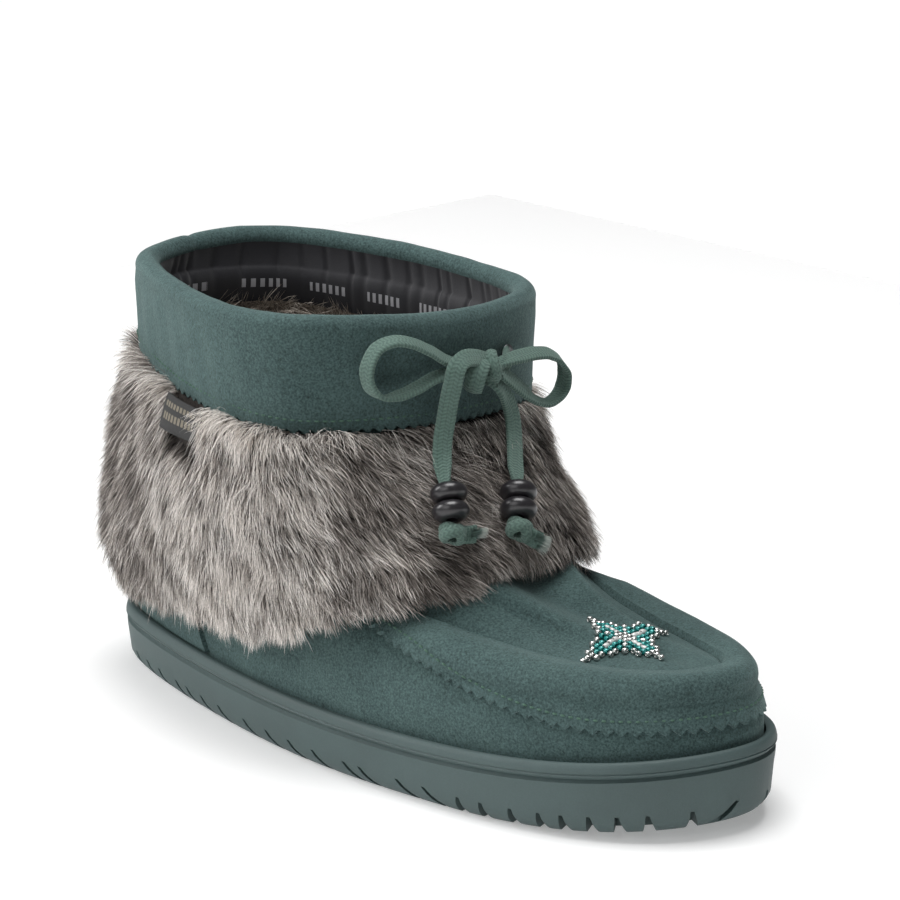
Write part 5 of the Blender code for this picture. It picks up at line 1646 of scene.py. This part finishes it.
class Bow(Maker):
    """The tied lace, with its knot, beads and cut ends."""

    @staticmethod
    def wrap(centre: Sequence[float], axis: Sequence[float], radii: tuple[float, float],
             width: float) -> tuple[Array, Array, Array]:
        """One turn of lace around the knot, as points, faces and UVs."""
        x, y, z = frame_along(axis)
        turns = np.linspace(0.0, 2.0 * math.pi, 49)
        ring = np.cos(turns)[:, None] * x * radii[0] + np.sin(turns)[:, None] * y * radii[1]
        out = unit(np.cos(turns)[:, None] * x / radii[0] + np.sin(turns)[:, None] * y / radii[1])
        half = np.linspace(-1.0, 1.0, 9)
        bulge = 0.0009 * (1.0 - half ** 2)
        rows = []
        for side, depth in ((half, bulge + 0.0008), (half[::-1], np.full(9, -0.0008))):
            rows.append(
                np.array(centre) + ring[:, None] + side[None, :, None] * z * width * 0.5
                + depth[None, :, None] * out[:, None])
        grid = np.concatenate(rows + [rows[0][:, :1]], axis=1)
        along = np.linspace(0.0, 2.0 * math.pi * sum(radii) * 0.5, len(turns))
        across = np.concatenate([half, half[::-1], half[:1]])
        uv = uv_grid(along[:, None], across[None])
        return grid.reshape(-1, 3), grid_faces(*grid.shape[:2]), uv.reshape(-1, 2)

    def turned(self, name: str, parts: Sequence[tuple[Array, Array, Array]]) -> bpy.types.Object:
        """Several wraps of lace as one piece."""
        verts, faces = joined([part[:2] for part in parts])
        uv = np.concatenate([part[2] for part in parts])
        return mesh_object(name, verts, faces, self.finishes.lace, uv, sharp=70.0)

    def knot(self) -> bpy.types.Object:
        """Half hitch: two turns of lace over a filled middle."""
        parts = [
            self.wrap(spot, right * VIEWER_RIGHT + up * VIEWER_UP, radii, width)
            for spot, (right, up), radii, width in KNOT_TURNS]
        angles = np.linspace(-0.5 * math.pi, 0.5 * math.pi, 10)
        points, faces = lathe([(0.86 * math.cos(a), 0.86 * math.sin(a)) for a in angles], 20)
        points = points * (0.0040, 0.0052, 0.0052) + KNOT_CENTRE + np.array((0.0, 0.0006, 0.0))
        made = self.turned("lace_knot_turns", parts + [(points, faces, points[:, [2, 1]])])
        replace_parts(made, "lace_knot")
        return made

    def bead(self, name: str, top: Sequence[float], hang: Sequence[float],
             index: int) -> bpy.types.Object:
        """One turned disc bead."""
        axis = np.array(Vector(hang).normalized())
        centre = np.array(top) + axis * index * (BEAD_HEIGHT + GAP)
        angles = np.linspace(-0.5 * math.pi, 0.5 * math.pi, 17)
        neck = 0.50 * BEAD_RADIUS
        profile = [(BEAD_HOLE, -0.5 * BEAD_HEIGHT), (BEAD_HOLE, 0.5 * BEAD_HEIGHT)]
        profile += [
            (neck + (BEAD_RADIUS - neck) * max(math.cos(a), 0.0) ** 1.15,
             0.5 * BEAD_HEIGHT * math.sin(a))
            for a in angles[::-1]]
        points, faces = lathe(profile, 48)
        made = mesh_object(
            name + "_turned", points @ frame_along(hang) + centre, faces, self.finishes.bead,
            sharp=50.0)
        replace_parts(made, name)
        return made

    def tail(self, side: str, line: Sequence[Sequence[float]],
             seed: int) -> list[bpy.types.Object]:
        """Stopper knot and the frayed end of the lace beyond it."""
        path = smooth_route(line, 24)
        ahead = unit(path[6] - path[0])
        hang = np.array(Vector(LEFT_HANG if side == "left" else RIGHT_HANG).normalized())
        middle = path[0] + 0.0006 * ahead
        knot = self.turned(f"stopper_{side}", [
            self.wrap(middle, tuple(hang + 0.2 * ahead), (0.0030, 0.0034), 0.0040),
            self.wrap(middle, tuple(0.8 * hang - 0.6 * ahead), (0.0028, 0.0033), 0.0034)])
        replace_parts(knot, f"end_knot_{side}")
        route = np.column_stack([path[4:18:3], np.full(5, 0.9)])
        stub = Lace(f"stub_{side}", route, End.KNOT).sweep(self.finishes.lace)
        rng = np.random.default_rng(seed)
        count = 420
        across = unit(np.cross(ahead, hang))
        spread = rng.uniform(-1.0, 1.0, count)[:, None]
        roots = path[12] + across * spread * 0.0030 + hang * rng.normal(0.0, 0.0006, count)[:, None]
        flow = unit(unit(path[-1] - path[10]) + across * spread * 0.28
                    + rng.normal(0.0, 0.10, (count, 3)))
        normals = unit(np.tile(-hang, (count, 1)) + 0.2 * rng.normal(0.0, 1.0, (count, 3)))
        coat = Coat(f"fray_{side}", count, (0.0050, 0.0082), 0.00030, 3, (0.0, 0.0), (0.1, 0.95),
                    seed, sunk=0.0, clumps=30, clumping=0.35, spread=0.1, droop=0.15)
        fray = grow(coat, Roots(roots, normals, flow, np.ones(count)), self.finishes.fray)
        return [knot, stub, fray]

    def build(self) -> None:
        """Build both loops, both ends and all that hangs on them."""
        knot = self.knot()
        out = np.array(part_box("eyelet_right")).mean(axis=0) + (0.0006, 0.0, 0.0)
        behind = np.array(KNOT_CENTRE) + (0.0, 0.0025, -0.0006)
        middle = 0.5 * (out + behind) + (0.0014, 0.0, 0.0)
        lead = np.column_stack([np.stack([out, middle, behind]), (0.6, 0.5, 0.4)])
        bar = Lace("lead_right", lead, End.OBJECT).sweep(self.finishes.lace)
        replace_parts(bar, "lace_bar_right")
        for side, route, held in (("left", LEFT_LOOP, [knot]), ("right", RIGHT_LOOP, [bar])):
            Lace(f"loop_{side}", route, End.OBJECT, [f"lace_loop_{side}"],
                 carries=held).build(self.finishes.lace)
        for side, route, top, hang, tail, seed in (
                ("left", LEFT_END, LEFT_BEADS, LEFT_HANG, LEFT_TAIL, 5),
                ("right", RIGHT_END, RIGHT_BEADS, RIGHT_HANG, RIGHT_TAIL, 6)):
            held = [self.bead(f"bead_{side}_{place}", top, hang, k)
                    for k, place in enumerate(("upper", "lower"))]
            held += self.tail(side, tail, seed)
            Lace(f"end_{side}", route, End.KNOT, [f"lace_end_{side}"], pinch=0.42,
                 carries=held).build(self.finishes.lace)


class Star(Maker):
    """Four-pointed star of small beads sewn on the apron."""

    PITCH = 0.00205
    RADIUS = 0.00104
    ARM_REACHES = (0.0163, 0.0187)
    ARM_WIDTH = 0.0092

    def spots(self) -> dict[str, list[tuple[float, float, float]]]:
        """Plan places of the beads by colour, with the turn of each arm."""
        held: dict[str, list[tuple[float, float, float]]] = {"pearl": [], "teal": [], "silver": []}
        for arm in range(4):
            turn = 0.5 * math.pi * arm
            reach = self.ARM_REACHES[arm % 2]
            count = round(reach / self.PITCH)
            for k in range(1, count + 1):
                r = k * reach / count
                wide = self.ARM_WIDTH * (1.0 - r / reach)
                most = int(min(wide, r - 0.0004) / self.PITCH + 0.35)
                for column in range(-most, most + 1):
                    colour = "teal"
                    if abs(column) == most or k >= count - 2 or k == 1:
                        colour = "silver"
                    elif column == 0 and k <= 0.55 * count:
                        colour = "pearl"
                    offset = column * self.PITCH
                    held[colour].append((
                        r * math.cos(turn) - offset * math.sin(turn),
                        r * math.sin(turn) + offset * math.cos(turn), turn))
        held["silver"].append((0.0, 0.0, 0.0))
        return held

    def build(self) -> None:
        """Seat every bead on the apron's own face."""
        apron = bpy.data.objects["apron_suede"]
        tree = BVHTree.FromObject(apron, bpy.context.evaluated_depsgraph_get())
        rng = np.random.default_rng(9)
        angles = np.linspace(0.0, 2.0 * math.pi, 9)[:-1]
        for colour, spots in self.spots().items():
            parts = []
            for x, y, turn in spots:
                long = 1.32 if colour == "pearl" else 0.94
                hole, outer = 0.00034, self.RADIUS * rng.uniform(0.93, 1.05)
                middle, half = 0.5 * (hole + outer), 0.5 * (outer - hole)
                profile = [
                    (middle + half * math.cos(a), long * self.RADIUS * 0.86 * math.sin(a))
                    for a in angles]
                points, faces = lathe(profile, 10)
                lie = turn + (0.0 if colour == "pearl" else 0.5 * math.pi) + rng.normal(0.0, 0.12)
                axis = (math.cos(lie), math.sin(lie), rng.normal(0.0, 0.10))
                spot = Vector((STAR_CENTRE[0] + x + rng.normal(0.0, 0.00008),
                               STAR_CENTRE[1] + y + rng.normal(0.0, 0.00008), COLLAR_HEIGHT))
                hit = tree.ray_cast(spot, Vector((0.0, 0.0, -1.0)))
                seat = np.array(hit[0]) + np.array(hit[1]) * self.RADIUS * 0.86
                parts.append((points @ frame_along(axis) + seat, faces))
            verts, faces = joined(parts)
            made = mesh_object(
                f"star_{colour}", verts, faces, getattr(self.finishes, colour), sharp=180.0)
            if colour == "pearl":
                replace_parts(made, "bead_star")


class Trim(Maker):
    """Eyelets and the fabric tab."""

    def eyelet(self, side: str) -> None:
        """Rolled metal ring around a dark hole."""
        low, high = (np.array(corner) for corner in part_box(f"eyelet_{side}"))
        centre = 0.5 * (low + high)
        normal = unit(np.array(EYELET_FACES[side]))
        angles = np.linspace(0.0, 2.0 * math.pi, 13)[:-1]
        profile = [(0.0024 + 0.0009 * math.cos(a), 0.0006 * math.sin(a)) for a in angles]
        points, faces = lathe(profile, 40)
        made = mesh_object(
            f"ring_{side}", points @ frame_along(normal) + centre, faces, self.finishes.metal)
        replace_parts(made, f"eyelet_{side}")
        plug = ((0.0001, 0.0), (0.0019, 0.0), (0.0019, -0.0004), (0.0001, -0.0004))
        points, faces = lathe(plug, 24)
        hole = mesh_object(
            f"hole_{side}", points @ frame_along(normal) + centre - 0.0002 * normal, faces,
            self.finishes.satin)

    def tab(self) -> None:
        """Label lying on the fur, with a little thickness."""
        shares = np.linspace(TAB_SHARE - TAB_BEFORE, TAB_SHARE + TAB_AFTER, 24)
        levels = np.linspace(*TAB_LEVELS, 10)
        lift = 0.0030 + 0.0006 * np.sin(np.linspace(0.0, 5.0, 24))[None]
        face = FUR_FACE.lifted(shares, levels, lift - 0.0010 * (levels[:, None] - 2.5))
        uv = uv_grid(np.linspace(0.0, 1.0, 24)[None], np.linspace(0.0, 1.0, 10)[:, None])
        made = grid_object("tab_woven", face, self.finishes.label, uv=uv)
        solid = made.modifiers.new("thickness", "SOLIDIFY")
        solid.thickness = 0.0009
        solid.offset = -1.0
        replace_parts(made, "label_tab")

    def build(self) -> None:
        """Build the eyelets and the tab."""
        for side in ("left", "right"):
            self.eyelet(side)
        self.tab()


# ---- Camera, light and floor

class Studio:
    """White studio: the photograph's camera, three soft lights and a pale floor."""

    @staticmethod
    def camera() -> None:
        """Place the camera by its angles, distance and shifts."""
        back, right, up = (Vector(axis) for axis in (VIEWER, VIEWER_RIGHT, VIEWER_UP))
        spot = back * CAMERA_DISTANCE + right * CAMERA_RIGHT + up * CAMERA_UP
        lens = bpy.data.cameras.new("camera")
        lens.sensor_width = SENSOR_WIDTH
        lens.lens = FOCAL_PIXELS / PICTURE_PIXELS * SENSOR_WIDTH
        lens.clip_start = 0.05
        lens.clip_end = 20.0
        made = linked("camera", lens)
        turn = Matrix((right, up, back)).transposed().to_4x4()
        made.matrix_world = Matrix.Translation(spot) @ turn
        bpy.context.scene.camera = made

    @staticmethod
    def light(name: str, towards: Sequence[float], distance: float, size: float,
              power: float) -> None:
        """Square area light that looks at the boot's middle."""
        way = Vector(towards).normalized()
        data = bpy.data.lights.new(name, "AREA")
        data.shape = "SQUARE"
        data.size = size
        data.energy = power
        made = linked(name, data)
        made.location = Vector(LIGHT_TARGET) + way * distance
        made.rotation_euler = way.to_track_quat("Z", "Y").to_euler()

    @staticmethod
    def glow(name: str, colour: float, strength: float) -> bpy.types.Material:
        """White surface that also gives off light."""
        g = Graph(name)
        return g.finish(
            (colour, colour, colour), 0.9, Specular_IOR_Level=0.0,
            Emission_Color=(1.0, 1.0, 1.0), Emission_Strength=strength)

    def floor(self) -> None:
        """Floor for the shadow, and a white room round it for the camera only."""
        corners = FLOOR_HALF * np.array([(-1, -1, 0), (1, -1, 0), (1, 1, 0), (-1, 1, 0)])
        finish = self.glow("floor", FLOOR_WHITE, FLOOR_GLOW)
        floor = self.shell("floor", corners, [(0, 1, 2, 3)], finish)
        room = np.array([(x, y, z) for z in (-1, 1) for y in (-1, 1) for x in (-1, 1)]) * ROOM_HALF
        sides = [(0, 1, 3, 2), (4, 5, 7, 6), (0, 1, 5, 4), (2, 3, 7, 6), (0, 2, 6, 4), (1, 3, 7, 5)]
        wall = self.shell("backdrop", room, sides, self.glow("backdrop", 0.0, ROOM_GLOW))
        for what in ("visible_diffuse", "visible_glossy", "visible_shadow"):
            setattr(wall, what, False)
        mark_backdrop(floor, wall)

    @staticmethod
    def shell(name: str, corners: Array, sides: list[tuple[int, ...]],
              finish: bpy.types.Material) -> bpy.types.Object:
        """Flat quads between the corners."""
        mesh = bpy.data.meshes.new(name)
        mesh.from_pydata(corners.tolist(), [], sides)
        mesh.materials.append(finish)
        return linked(name, mesh)

    def build(self) -> None:
        """Build the whole studio."""
        self.camera()
        self.floor()
        world = bpy.data.worlds.new("studio")
        world.use_nodes = True
        background = world.node_tree.nodes["Background"]
        background.inputs["Color"].default_value = (1.0, 1.0, 1.0, 1.0)
        background.inputs["Strength"].default_value = WORLD_STRENGTH
        bpy.context.scene.world = world
        for settings in LIGHTS:
            self.light(*settings)
        view = bpy.context.scene.view_settings
        view.view_transform = "Standard"
        view.look = "None"


def write_size(key: str, held: dict[str, Any]) -> None:
    low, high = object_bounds()
    held[key] = {"low": list(low), "high": list(high)}


def main() -> None:
    """Build the scene around the frame."""
    logging.basicConfig(level=logging.INFO)
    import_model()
    sizes: dict[str, Any] = {}
    write_size("cad", sizes)
    bpy.ops.object.select_all(action="DESELECT")
    Studio().build()
    finishes = make_finishes()
    Bow(finishes).build()
    Sole(finishes).build()
    Upper(finishes).build()
    Cuff(finishes).build()
    Star(finishes).build()
    Trim(finishes).build()
    FurBand(finishes).build()
    LOG.info("every piece is built")
    write_size("final", sizes)


if __name__ == "__main__":
    main()
